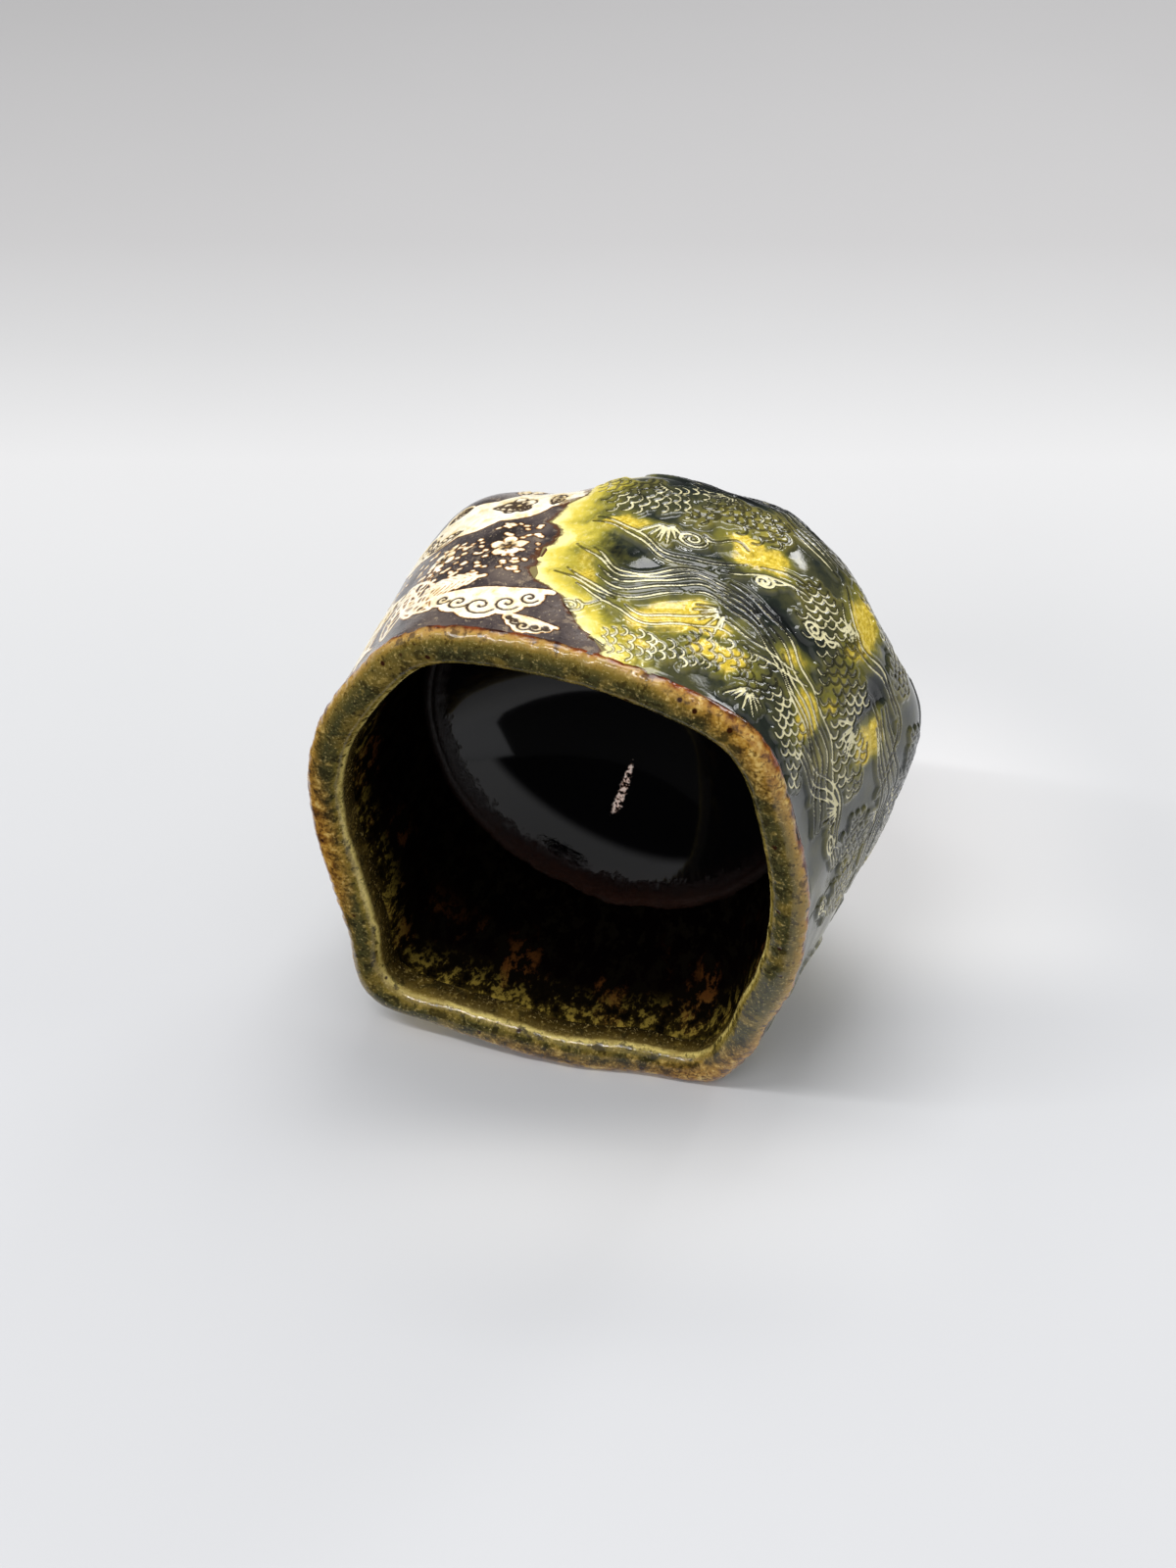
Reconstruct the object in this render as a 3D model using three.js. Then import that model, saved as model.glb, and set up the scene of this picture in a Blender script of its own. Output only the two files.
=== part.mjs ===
// A hand-formed stoneware sake cup: a thick carved wall on a low foot ring, glazed green and
// black outside, with a rough dark lining and a deep glossy pool of glaze inside.
// Millimetres, +Z up, the origin in the middle of the face that the foot stands on.
import * as THREE from 'three';

// Driving dimensions of the body
const mouthRadius = 32; // outer edge of the lip, the mean all round
const mouthHeight = 44; // top of the lip, the mean all round
const lipThickness = 4.2; // clay and glaze together
const lipCrown = 1.6; // height of the lip's rounded top
const bellyRadius = 33; // the body at its fullest, the mean all round
const bellyHeight = 17;
const heelTurnIn = 9; // how far the wall turns in under the belly
const heelRoundness = 1.9; // 2 is a parabola, less is flatter
const footHeight = 2.8;
const footRadius = 20; // outer edge of the resting face
const footFlare = 1.2; // how much wider the ring is where it meets the body
const footWidth = 4.6;
const footRounding = 0.5;
const bodyLean = [1.3, 2.9]; // the wall's own axis, off the foot's centre as it was formed

// Driving dimensions of the hollow and the glazes
const poolRadius = 23; // edge of the pooled glaze
const poolHeight = 21.4;
const bowlBottom = 10.7; // top of the pooled glaze in the middle
const bowlSteepness = 50; // degrees that the bowl's arc covers
const bowlLean = [1.5, -3]; // the bowl's own axis, off the wall's
const poolThickness = 1.6;
const poolBead = 0.6; // rounded edge that the pooled glaze stands up to
const poolWall = 1.2; // least clay between the pool and the outer glaze
const glazeThickness = 0.6;
const glazeLine = 4.4; // height where the outer glaze stops above the bare heel
const glazeLineWave = 0.5;
const lipApron = 2.6; // how far the lip glaze runs down inside
const plugRadius = 12; // the floor slab that closes the wall's lower opening
const plugDish = 0.4; // how far its underside rises in the middle
const clearance = 0.3; // between pieces that lie against each other
const edgeGap = (clearance / 2 / mouthRadius) * (180 / Math.PI); // half of it, as a turn

// The mouth's outline, pressed out of a circle: turn in degrees, then the pull outwards and
// upwards at each corner and along each side
const lipPulls = [
  [0, -1.7, 0.4], [16, -2.4, 0.7], [32, -0.8, 0.8], [48, 3.7, 0.6], [60, 0.4, 0.3], [76, -1.6, -0.3],
  [92, -1.4, -1.3], [108, -0.1, -3.2], [122, 3.1, -4.4], [134, 0.8, -3.4], [150, -2.3, -1.5],
  [166, -2.8, -0.4], [190, -2.1, -0.2], [210, -0.2, -0.1], [232, 3.5, 0], [247, 2.3, 0.2],
  [267, 1.5, 0.5], [284, 2.3, 0.8], [297, 3.0, 0.9], [315, 1.1, 0.8], [345, -0.7, 0.5],
];

// The belly's outline in the same way: turn, then the pull outwards
const bellyPulls = [
  [0, -2.4], [45, -1.6], [90, -2.6], [135, -1.8], [162, -2.4], [182, -0.9], [205, 2.8], [235, 5.4],
  [262, 3.5], [284, 1.8], [305, 2.9], [330, 0.9],
];

// Marks of fingers and thumbs in the wall: turn, height, push outwards (in when negative), and
// how wide in degrees and how tall in mm each one is
const presses = [
  { turn: 268, height: 9, push: 1.5, width: 13, tall: 7 },
  { turn: 291, height: 10, push: -1.2, width: 12, tall: 8 },
  { turn: 246, height: 6, push: 1.0, width: 8, tall: 6 },
  { turn: 219, height: 8, push: -1.4, width: 9, tall: 7 },
  { turn: 196, height: 9, push: 1.9, width: 12, tall: 8 },
  { turn: 307, height: 9, push: 0.8, width: 10, tall: 7 },
];

// Where the black slip panel begins and ends: height, then the turn of its two edges
const slipEdges = [
  { height: 0, first: 281, last: 378 }, { height: 25, first: 282, last: 374 },
  { height: 31, first: 281, last: 380 }, { height: 37, first: 270, last: 384 },
  { height: 42, first: 263, last: 381 }, { height: 46, first: 252, last: 385 },
  { height: 60, first: 252, last: 385 },
];

const edgeReach = 45; // degrees over which the mesh's columns lean with those edges

// Fineness of the mesh
const columns = 64;
const sideRows = 9;
const crownRows = 5;
const hollowRows = 6;
const outerBowlRows = 4;
const innerBowlRows = 3;
const beadRows = 4;

const fullTurn = 360;
const radians = (degrees) => (degrees * Math.PI) / 180;
const mix = (from, to, share) => from + (to - from) * share;
const steps = (count) => Array.from({ length: count + 1 }, (_, step) => step / count);
const ease = (share) => share * share * (3 - 2 * share);

// A value that runs smoothly round the cup through its keys
function around(keys, turn, column = 1) {
  const count = keys.length;
  const wrapped = ((turn % fullTurn) + fullTurn) % fullTurn;
  const key = (index) => {
    const lap = Math.floor(index / count);
    const found = keys[index - lap * count];
    return [found[0] + lap * fullTurn, found[column]];
  };
  const slope = (index) => {
    const [before, here, after] = [key(index - 1), key(index), key(index + 1)];
    const [back, ahead] = [here[0] - before[0], after[0] - here[0]];
    const rise = ((here[1] - before[1]) / back) * ahead + ((after[1] - here[1]) / ahead) * back;
    return rise / (back + ahead);
  };
  const index = keys.filter(([at]) => at <= wrapped).length - 1;
  const [start, end] = [key(index), key(index + 1)];
  const span = end[0] - start[0];
  const share = (wrapped - start[0]) / span;
  const leave = slope(index) * span * share * (1 - share) ** 2;
  const arrive = slope(index + 1) * span * share ** 2 * (share - 1);
  return mix(start[1], end[1], ease(share)) + leave + arrive;
}

const lipRadiusAt = (turn) => mouthRadius + around(lipPulls, turn, 1);
const lipHeightAt = (turn) => mouthHeight + around(lipPulls, turn, 2);
const shoulderAt = (turn) => lipHeightAt(turn) - lipCrown;

// How far the pool reaches under its glaze from the wall's axis, and the belly's outline, which
// leaves clay round it at every turn
function poolReach(turn) {
  const [ahead, aside] = [turn, turn + fullTurn / 4].map((way) =>
    bowlLean[0] * Math.cos(radians(way)) + bowlLean[1] * Math.sin(radians(way)));
  return ahead + Math.sqrt((poolRadius + underPool) ** 2 - aside ** 2);
}
const bellyRadiusAt = (turn) =>
  Math.max(bellyRadius + around(bellyPulls, turn), poolReach(turn) + poolWall + underGlaze);

// The finished outer face of the wall: its radius at a turn and a height
function wallRadius(turn, height) {
  const belly = bellyRadiusAt(turn);
  const rise = (height - bellyHeight) / (shoulderAt(turn) - bellyHeight);
  const drop = (bellyHeight - height) / (bellyHeight - footHeight);
  let radius = mix(belly, lipRadiusAt(turn), ease(Math.min(Math.max(rise, 0), 1)));
  radius -= heelTurnIn * Math.max(drop, 0) ** heelRoundness;
  for (const press of presses) {
    const aside = ((turn - press.turn + 1.5 * fullTurn) % fullTurn) - fullTurn / 2;
    const away = (aside / press.width) ** 2 + ((height - press.height) / press.tall) ** 2;
    radius += press.push * Math.exp(-away);
  }
  return radius;
}

// Three stretches of the finished section, each a [radius, height] at a turn and a share of its
// length. A third number says how far that point has moved from the wall's axis to the bowl's.
function side(turn, share) {
  const height = mix(footHeight, shoulderAt(turn), share);
  return [wallRadius(turn, height), height];
}
function crown(turn, share) {
  const half = lipThickness / 2;
  const arc = Math.PI * share;
  const radius = wallRadius(turn, shoulderAt(turn)) - half + half * Math.cos(arc);
  return [radius, shoulderAt(turn) + lipCrown * Math.sin(arc)];
}
function hollow(turn, share) {
  const top = wallRadius(turn, shoulderAt(turn)) - lipThickness;
  const foot = poolRadius + poolThickness - glazeThickness;
  const moved = share * share;
  return [mix(top, foot, moved), mix(shoulderAt(turn), poolHeight, share), moved];
}

// A point of a stretch, sunk into the wall square to its face
function sunk(stretch, turn, share, depth) {
  const [reach, swing] = [0.01, 0.5];
  const [fromRadius, fromHeight] = stretch(turn, share - reach);
  const [toRadius, toHeight] = stretch(turn, share + reach);
  const [radius, height, moved] = stretch(turn, share);
  const length = Math.hypot(toRadius - fromRadius, toHeight - fromHeight);
  const [before, after] = [stretch(turn - swing, share), stretch(turn + swing, share)];
  const slant = (after[0] - before[0]) / (2 * radians(swing) * radius);
  const inwards = (depth * Math.hypot(1, slant)) / length;
  const sunkRadius = radius - (toHeight - fromHeight) * inwards;
  return [sunkRadius, height + (toRadius - fromRadius) * inwards, moved];
}
const along = (stretch, turn, from, to, rows, depth = 0) =>
  steps(rows).map((step) => sunk(stretch, turn, mix(from, to, step), depth));

// The bowl that the pooled glaze fills: an arc of an ellipse, at a depth below the glaze's face
function bowl(from, to, rows, depth) {
  const edge = radians(bowlSteepness);
  const drop = (poolHeight - bowlBottom + depth) / (1 - Math.cos(edge));
  return steps(rows).map((step) => {
    const arc = mix(from, to, step);
    const radius = ((poolRadius + depth) * Math.sin(arc)) / Math.sin(edge);
    return [radius, poolHeight - drop * (Math.cos(arc) - Math.cos(edge)), 1];
  });
}
const bowlEdge = radians(bowlSteepness);
const bowlArcAt = (radius, depth) =>
  Math.asin((radius * Math.sin(bowlEdge)) / (poolRadius + depth));

// How deep the clay lies under each glaze, and the shares where the glazes stop
const underGlaze = glazeThickness + clearance;
const underPool = poolThickness + clearance;
const hollowDepth = (turn) => shoulderAt(turn) - poolHeight;
const apronEnd = (turn) => lipApron / hollowDepth(turn);
const liningStart = (turn) => (lipApron + clearance) / hollowDepth(turn);
const liningEnd = (turn) => 1 - (poolBead + clearance + glazeThickness) / hollowDepth(turn);
const coatTop = (turn) => 1 - clearance / (shoulderAt(turn) - footHeight);
const coatFoot = (turn) => {
  const line = glazeLine + glazeLineWave * Math.sin(radians(5 * turn));
  return (line - footHeight) / (shoulderAt(turn) - footHeight);
};

// The turn of the slip panel's edge at a height
function slipEdge(edge, height) {
  const above = slipEdges.findIndex((key) => key.height > height);
  const [lower, upper] = [slipEdges[above - 1], slipEdges[above]];
  return mix(lower[edge], upper[edge], (height - lower.height) / (upper.height - lower.height));
}

// Every piece shares the same columns. They stand at even turns round the cup, and near the slip
// panel they lean with its edges, so that touching faces have the same facets.
const columnTurn = fullTurn / columns;
const onColumn = (turn) => Math.round(turn / columnTurn) * columnTurn;
const edgeHomes = { first: onColumn(slipEdges[0].first), last: onColumn(slipEdges[0].last) };
const turnBetween = (from, to) => ((to - from + 2.5 * fullTurn) % fullTurn) - fullTurn / 2;
function leaning(turn, height) {
  return ['first', 'last'].reduce((leaned, edge) => {
    const nearness = Math.max(0, 1 - Math.abs(turnBetween(edgeHomes[edge], turn)) / edgeReach);
    return leaned + (slipEdge(edge, height) - edgeHomes[edge]) * nearness;
  }, turn);
}

// A body with one closed section, or one that ends on the axis, carried round the cup. Where it
// doesn't go all the way, its outer and inner rows are joined across both ends.
function carried(section, first = 0, last = fullTurn) {
  const span = Math.round((last - first) / columnTurn);
  const outline = section(first).map(([radius, height]) => new THREE.Vector2(radius, height));
  const rows = outline.length;
  const geometry = new THREE.LatheGeometry(outline, span);
  const position = geometry.attributes.position;
  const open = last - first < fullTurn;
  for (let column = 0; column <= span; column += 1) {
    const inset = open ? edgeGap * ((column === 0) - (column === span)) : 0;
    const home = open ? first + column * columnTurn : (column % span) * columnTurn;
    section(home).forEach(([, level], row) => {
      const turn = leaning(home, level) + inset;
      const [radius, height, moved = 0] = section(turn)[row];
      const x = moved * bowlLean[0] + radius * Math.cos(radians(turn));
      const y = moved * bowlLean[1] + radius * Math.sin(radians(turn));
      position.setXYZ(column * rows + row, x, y, height);
    });
  }
  const faces = [...geometry.index.array];
  for (let row = 0; open && row < (rows - 1) / 2 - 1; row += 1) {
    const [lower, upper, behindUpper, behindLower] = [row, row + 1, rows - 3 - row, rows - 2 - row];
    faces.push(lower, upper, behindUpper, lower, behindUpper, behindLower);
    const end = span * rows;
    faces.push(end + upper, end + lower, end + behindLower);
    faces.push(end + upper, end + behindLower, end + behindUpper);
  }
  geometry.setIndex(faces);
  geometry.computeVertexNormals();
  return geometry;
}
const closed = (points) => [...points, points[0]];

// Clay: the wall with its heel, carved out inside, and open below for the floor slab
const boreRadius = plugRadius + clearance;
const clayWall = carried((turn) => closed([
  [boreRadius, footHeight, 1],
  [sunk(side, turn, 0, underGlaze)[0], footHeight],
  ...along(side, turn, coatFoot(turn), coatTop(turn), sideRows, underGlaze),
  ...along(crown, turn, 0, 1, crownRows, underGlaze).slice(1, -1),
  ...along(hollow, turn, 0, liningEnd(turn), hollowRows, underGlaze),
  ...bowl(bowlEdge, bowlArcAt(boreRadius, underPool), outerBowlRows, underPool),
]));

// Clay: the floor slab, dished a little underneath
const plugArc = bowlArcAt(plugRadius, underPool);
const clayFloor = carried(() => [
  [0, footHeight + plugDish, 1],
  [plugRadius, footHeight, 1],
  ...bowl(plugArc, 0, innerBowlRows, underPool),
]);

// Clay: the foot ring under the wall, flared towards the body, its lower edges softened
const footTop = footHeight - clearance;
const footInner = footRadius - footWidth;
const footRing = carried(() => closed([
  [footInner + footRounding, 0],
  [footRadius - footRounding, 0],
  [footRadius, footRounding],
  [footRadius + footFlare, footTop],
  [footInner, footTop],
  [footInner, footRounding],
]));

// Glaze: the band over the lip, the lining under it and the pool at the bottom
const lipGlaze = carried((turn) => closed([
  ...along(crown, turn, 0, 1, crownRows),
  ...along(hollow, turn, 0, apronEnd(turn), 2).slice(1),
  ...along(hollow, turn, apronEnd(turn), 0, 2, glazeThickness),
  ...along(crown, turn, 1, 0, crownRows, glazeThickness).slice(1),
]));
const innerGlaze = carried((turn) => closed([
  ...along(hollow, turn, liningStart(turn), liningEnd(turn), hollowRows),
  ...along(hollow, turn, liningEnd(turn), liningStart(turn), hollowRows, glazeThickness),
]));
const glazePool = carried(() => [
  ...bowl(0, plugArc, innerBowlRows, poolThickness),
  ...bowl(plugArc, bowlEdge, outerBowlRows, poolThickness).slice(1),
  ...steps(beadRows).slice(1, -1).map((step) => {
    const half = poolThickness / 2;
    const arc = Math.PI * step;
    return [poolRadius + half + half * Math.cos(arc), poolHeight + poolBead * Math.sin(arc), 1];
  }),
  ...bowl(bowlEdge, plugArc, outerBowlRows, 0),
  ...bowl(plugArc, 0, innerBowlRows, 0).slice(1),
]);

// Glaze: the two outer coats, which meet along the slip panel's edges
const coatSection = (turn) => closed([
  ...along(side, turn, coatFoot(turn), coatTop(turn), sideRows),
  ...along(side, turn, coatTop(turn), coatFoot(turn), sideRows, glazeThickness),
]);
const blackSlipPanel = carried(coatSection, edgeHomes.first, edgeHomes.last);
const greenGlaze = carried(coatSection, edgeHomes.last - fullTurn, edgeHomes.first);

// Colours and finishes
const finish = (color, roughness) => new THREE.MeshStandardMaterial({ color, roughness, metalness: 0 });
const bareClay = finish(0x9a7a5c, 0.9);
const darkLining = finish(0x2a2410, 0.6);
const blackPool = finish(0x0c0a0c, 0.12);
const oliveLip = finish(0x8a7c3a, 0.35);
const copperGreen = finish(0x4d5230, 0.2);
const blackSlip = finish(0x3a2e2c, 0.35);

// The foot stands at the origin, and the wall with all that lines or coats it on its own axis
const body = new THREE.Group();
body.position.set(...bodyLean, 0);
const sakeCup = new THREE.Group();
sakeCup.add(body);
function place(parent, name, geometry, material) {
  const mesh = new THREE.Mesh(geometry, material);
  mesh.name = name;
  parent.add(mesh);
}
place(body, 'clay_wall', clayWall, bareClay);
place(body, 'clay_floor', clayFloor, bareClay);
place(body, 'inner_glaze', innerGlaze, darkLining);
place(body, 'glaze_pool', glazePool, blackPool);
place(body, 'lip_glaze', lipGlaze, oliveLip);
place(body, 'green_glaze', greenGlaze, copperGreen);
place(body, 'black_slip_panel', blackSlipPanel, blackSlip);
place(sakeCup, 'foot_ring', footRing, bareClay);

export default sakeCup;
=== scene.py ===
"""A hand-formed stoneware sake cup, lying on its side on a pale floor.

Lengths in the shape formulas are millimetres and turns are degrees from +X towards +Y, round the
wall's own axis. Finished meshes are metres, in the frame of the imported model.
"""

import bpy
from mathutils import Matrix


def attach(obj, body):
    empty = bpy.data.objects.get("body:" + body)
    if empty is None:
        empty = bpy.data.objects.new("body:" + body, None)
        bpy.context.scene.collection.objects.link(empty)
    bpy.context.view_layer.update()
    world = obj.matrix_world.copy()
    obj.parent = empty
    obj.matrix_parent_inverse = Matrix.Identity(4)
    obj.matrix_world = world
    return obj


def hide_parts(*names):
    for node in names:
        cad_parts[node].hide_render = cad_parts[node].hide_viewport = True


bl_info = {
    "name": "Glazed sake cup",
    "version": (1, 0, 0),
    "blender": (4, 5, 0),
    "location": "3D View > Sidebar > Sake Cup",
    "description": "Builds a carved and glazed sake cup and the stage that it lies on",
    "category": "Add Mesh",
}

import math

import bmesh
import bpy
import numpy as np
from mathutils import Matrix, Vector

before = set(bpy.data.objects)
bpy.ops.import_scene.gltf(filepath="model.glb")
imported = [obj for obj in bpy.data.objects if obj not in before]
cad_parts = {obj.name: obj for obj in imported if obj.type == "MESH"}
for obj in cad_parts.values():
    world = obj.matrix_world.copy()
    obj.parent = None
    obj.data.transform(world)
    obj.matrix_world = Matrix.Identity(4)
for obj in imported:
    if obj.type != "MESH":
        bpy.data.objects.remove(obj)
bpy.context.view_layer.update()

MM = 0.001
BODY_LEAN = (1.3, 2.9)  # the wall's own axis, off the foot's centre
BOWL_LEAN = (1.5, -3.0)  # the bowl's own axis, off the wall's
BOWL_EDGE = math.radians(50)  # the arc that the bowl covers, from its middle to its edge
AXIS = Vector((*BODY_LEAN, 0)) * MM

# How deep each hidden face lies under the finished one, in mm
HEEL_DEPTH, WALL_DEPTH = 0.34, 0.62  # the bare heel, and the clay under the outer coats
LIP_CLAY_DEPTH, WELL_CLAY_DEPTH = 0.6, 1.75
COAT_BACK, LIP_BACK, LINING_BACK, POOL_BACK = 0.5, 0.45, 0.5, 1.6
SLAB_RADIUS = 12.0

# The mouth pulled out of a circle: turn, then the pull outwards and upwards
LIP_PULLS = np.array([
    [0, -1.7, 0.4], [16, -2.4, 0.7], [32, -0.8, 0.8], [48, 3.7, 0.6], [60, 0.4, 0.3],
    [76, -1.6, -0.3], [92, -1.4, -1.3], [108, -0.1, -3.2], [122, 3.1, -4.4], [134, 0.8, -3.4],
    [150, -2.3, -1.5], [166, -2.8, -0.4], [190, -2.1, -0.2], [210, -0.2, -0.1], [232, 3.5, 0],
    [247, 2.3, 0.2], [267, 1.5, 0.5], [284, 2.3, 0.8], [297, 3.0, 0.9], [315, 1.1, 0.8],
    [345, -0.7, 0.5],
])
# The belly pulled out of a circle in the same way
BELLY_PULLS = np.array([
    [0, -2.4], [45, -1.6], [90, -2.6], [135, -1.8], [162, -2.4], [182, -0.9], [205, 2.8],
    [235, 5.4], [262, 3.5], [284, 1.8], [305, 2.9], [330, 0.9],
])
# Finger marks: turn, height, push outwards, width in degrees, tallness in mm
PRESSES = (
    (268, 9, 1.5, 13, 7), (291, 10, -1.2, 12, 8), (246, 6, 1.0, 8, 6),
    (219, 8, -1.4, 9, 7), (196, 9, 1.9, 12, 8), (307, 9, 0.8, 10, 7),
)
# The slip panel's two edges: height, first turn, last turn
SLIP_EDGES = np.array([
    [0, 281, 378], [25, 282, 374], [31, 281, 380], [37, 270, 384], [42, 263, 381],
    [46, 252, 385], [60, 252, 385],
])
EDGE_REACH = 45.0  # degrees over which the wall's columns lean with those edges
# How strongly the fire has burnt the lip: turn, share
LIP_BURNT = np.array([
    [0, 0.68], [18, 0.62], [35, 0.42], [50, 0.35], [80, 0.6], [108, 0.58], [122, 0.7], [134, 0.6],
    [152, 0.36], [176, 0.3], [205, 0.25], [225, 0.6], [242, 0.5], [262, 0.28], [300, 0.28],
    [330, 0.42],
])

ARC = 0.576  # mm of wall per degree of turn
CIRCUIT = 360 * ARC

# Thin amber places in the green glaze: turn, height, half length, half height, lean, strength
AMBER_SPOTS = (
    (268.8, 22.6, 3.2, 1.3, 12, 0.8), (247, 20.7, 3.0, 1.7, -10, 1.0),
    (253, 33.5, 4.2, 2.0, 20, 1.0), (244, 36.5, 3.4, 1.5, 18, 0.9),
    (224.2, 34.9, 1.4, 2.6, 12, 1.0), (230, 30.5, 1.6, 1.6, 30, 0.6),
    (224.5, 18.9, 2.2, 3.6, 12, 0.95), (208.8, 26.7, 1.4, 3.4, 10, 0.75),
    (221, 30.7, 1.4, 2.0, 0, 0.6), (273, 31, 3.0, 3.6, 0, 0.75), (262.5, 39.4, 4.2, 2.0, 8, 0.95),
    (276, 24, 2.6, 4.0, 0, 0.55), (170, 22, 1.9, 4.6, 10, 0.65), (152, 34, 4.6, 1.5, -15, 0.9),
    (138, 18, 3.6, 1.7, 24, 0.8), (143, 22, 1.4, 2.6, 10, 0.6), (118, 27, 4.4, 1.4, -14, 0.7),
    (126, 31, 2.0, 1.2, 10, 0.7), (101, 13, 2.0, 3.8, 8, 0.65), (84, 32, 4.2, 1.3, 15, 0.85),
    (76, 29, 1.8, 2.0, 0, 0.6), (66, 18, 3.4, 1.6, -12, 0.75), (47, 30, 4.0, 1.5, -20, 0.85),
    (39, 26, 1.6, 2.6, 0, 0.6), (31, 22, 2.0, 4.6, 8, 0.65), (57, 40, 4.6, 1.2, 4, 0.8),
    (161, 12, 3.4, 1.2, 10, 0.6), (92, 40, 3.0, 1.2, -6, 0.7),
)
# Hollows where it lies deep and dark, in the same way
DARK_POOLS = (
    (253, 9, 4.4, 2.4, 8, 1.0), (191, 12, 4.0, 5.0, 10, 1.0), (266, 26.5, 6.0, 0.9, 14, 0.4),
    (281, 8, 3.0, 2.4, 0, 0.8), (265, 40.5, 3.2, 0.9, 0, 0.8), (262, 29, 3.0, 1.0, 12, 0.4),
    (238, 27.5, 3.4, 1.0, 20, 0.7), (214, 24, 1.4, 3.2, 10, 0.7), (150, 17, 4.2, 2.6, 15, 0.9),
    (128, 24, 3.2, 2.0, 0, 0.8), (110, 8, 4.0, 2.0, 0, 0.9), (92, 26, 2.6, 3.2, 0, 0.8),
    (72, 9, 4.0, 2.2, 0, 0.9), (54, 24, 3.0, 2.4, 0, 0.8), (36, 36, 3.0, 2.0, 0, 0.8),
    (140, 40, 4.0, 1.4, 0, 0.7),
)

# Rows of waves cut into the green side: the line that they follow in turns and heights, their
# width in mm, a seed, and the size of one wave where it isn't the usual
WAVE_FIELDS = (
    ([(279, 13), (268, 17), (256, 15.5), (244, 17)], 5.5, 3),
    ([(236, 20), (226, 25), (214, 29.5), (204, 30)], 6.5, 4),
    ([(196, 29), (187, 31), (176, 33)], 4.6, 6),
    ([(264, 40.5), (252, 38.5), (241, 35), (230, 36), (218, 40)], 4.2, 5, 1.4),
    ([(243, 5.5), (232, 9), (221, 13.5), (209, 16.5)], 4.6, 8),
    ([(199, 15.5), (188, 18.5), (176, 19.5), (168, 17)], 4.2, 9),
    ([(165, 17), (152, 12.5), (140, 13.5)], 5.0, 12),
    ([(131, 17.5), (119, 22), (106, 23.5), (94, 21)], 6.0, 10),
    ([(84, 17.5), (70, 15), (56, 17.5), (42, 22), (34, 25)], 5.4, 11),
    ([(164, 34), (150, 31.5), (138, 30), (122, 32), (104, 35)], 4.6, 13),
)
# Flowing water: its line, how many strands, the gap between them in mm, a seed
STREAMS = (
    ([(277, 27), (264, 31), (252, 27.5), (240, 29), (229, 33), (214, 35), (200, 39)], 5, 0.85, 1),
    ([(272, 7), (262, 10), (251, 9.5), (240, 13.5), (230, 14.5)], 4, 0.85, 2),
    ([(214, 23), (203, 24), (192, 22.5), (180, 26), (168, 25)], 5, 0.75, 4),
    ([(205, 8), (193, 10.5), (181, 10), (170, 13)], 4, 0.8, 6),
    ([(280, 20.5), (270, 22.5), (259, 26), (249, 24.5), (240, 22), (231, 22.5)], 2, 0.9, 9),
    ([(278, 31.5), (268, 33.5), (258, 35.5), (246, 32), (236, 32.5), (226, 31)], 2, 1.0, 10),
    ([(222, 37.5), (213, 36.5), (206, 34), (198, 35.5), (190, 35)], 3, 0.8, 11),
    ([(262, 5.2), (254, 6.5), (249, 9), (242, 10.5)], 3, 0.8, 12),
    ([(232, 16.5), (224, 21.5), (215, 20), (205, 20), (196, 26)], 2, 0.9, 13),
    ([(166, 26), (150, 22), (134, 23), (120, 29), (104, 31), (88, 28), (70, 27), (54, 31),
      (38, 33)], 6, 0.8, 14),
    ([(160, 7), (142, 8), (126, 12), (110, 14), (94, 10), (76, 8), (58, 11), (42, 13)], 5, 0.8, 15),
    ([(92, 36), (78, 34), (64, 37), (48, 40), (34, 39)], 4, 0.8, 16),
)
# Curls of foam: turn and height, size in mm, a seed
CURLS = (
    ((271, 36.5), 1.5, 1), ((257, 22.5), 1.7, 2), ((232, 25.5), 1.3, 3), ((218, 8.5), 1.5, 4),
    ((198, 36), 1.6, 5), ((184, 38), 1.3, 6), ((187, 6.5), 1.2, 7), ((243, 24), 1.1, 8),
    ((160, 39), 1.5, 21), ((142, 36), 1.6, 22), ((125, 18), 1.4, 23), ((104, 19), 1.3, 24),
    ((84, 24), 1.5, 25), ((64, 22), 1.4, 26), ((46, 26), 1.5, 27), ((30, 17), 1.3, 28),
    ((74, 40), 1.5, 29), ((112, 38), 1.4, 30), ((34, 8), 1.3, 31),
)
# Pine needles: root, lean, length in mm, a seed
TUFTS = (
    ((262, 21), 95, 3.6, 1), ((246, 30), 60, 3.6, 2), ((226, 20), 110, 3.6, 3),
    ((214, 27.5), 80, 3.6, 4), ((236, 37.5), 100, 3.6, 5), ((203, 33.5), 60, 3.6, 6),
    ((190, 24), 100, 3.6, 7), ((255, 12), 70, 3.6, 8), ((156, 15), 80, 3.5, 31),
    ((138, 25), 100, 3.5, 32), ((116, 26), 70, 3.5, 33), ((96, 22), 110, 3.5, 34),
    ((80, 13), 80, 3.5, 35), ((58, 25), 100, 3.5, 36), ((40, 29), 75, 3.5, 37),
    ((128, 36), 95, 3.5, 38),
)

# White slip laid into the panel: stalks
TENDRILS = (
    [(377, 7), (364, 12), (352, 8), (340, 12), (326, 9), (312, 13), (300, 8), (287, 10)],
    [(378, 34), (366, 37), (353, 33), (341, 37), (328, 35), (316, 38)],
    [(378, 21), (366, 25), (354, 21), (343, 24), (331, 20)],
)
# Banks of mist: their line, and how wide they are along it
BANKS = (
    ([(285, 14), (293, 17.5), (303, 20), (314, 21), (325, 19)], (2.2, 3.2, 3.0, 2.6, 1.4)),
    ([(344, 19), (354, 17), (365, 18), (375, 16)], (1.6, 2.8, 2.6, 1.6)),
)
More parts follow.
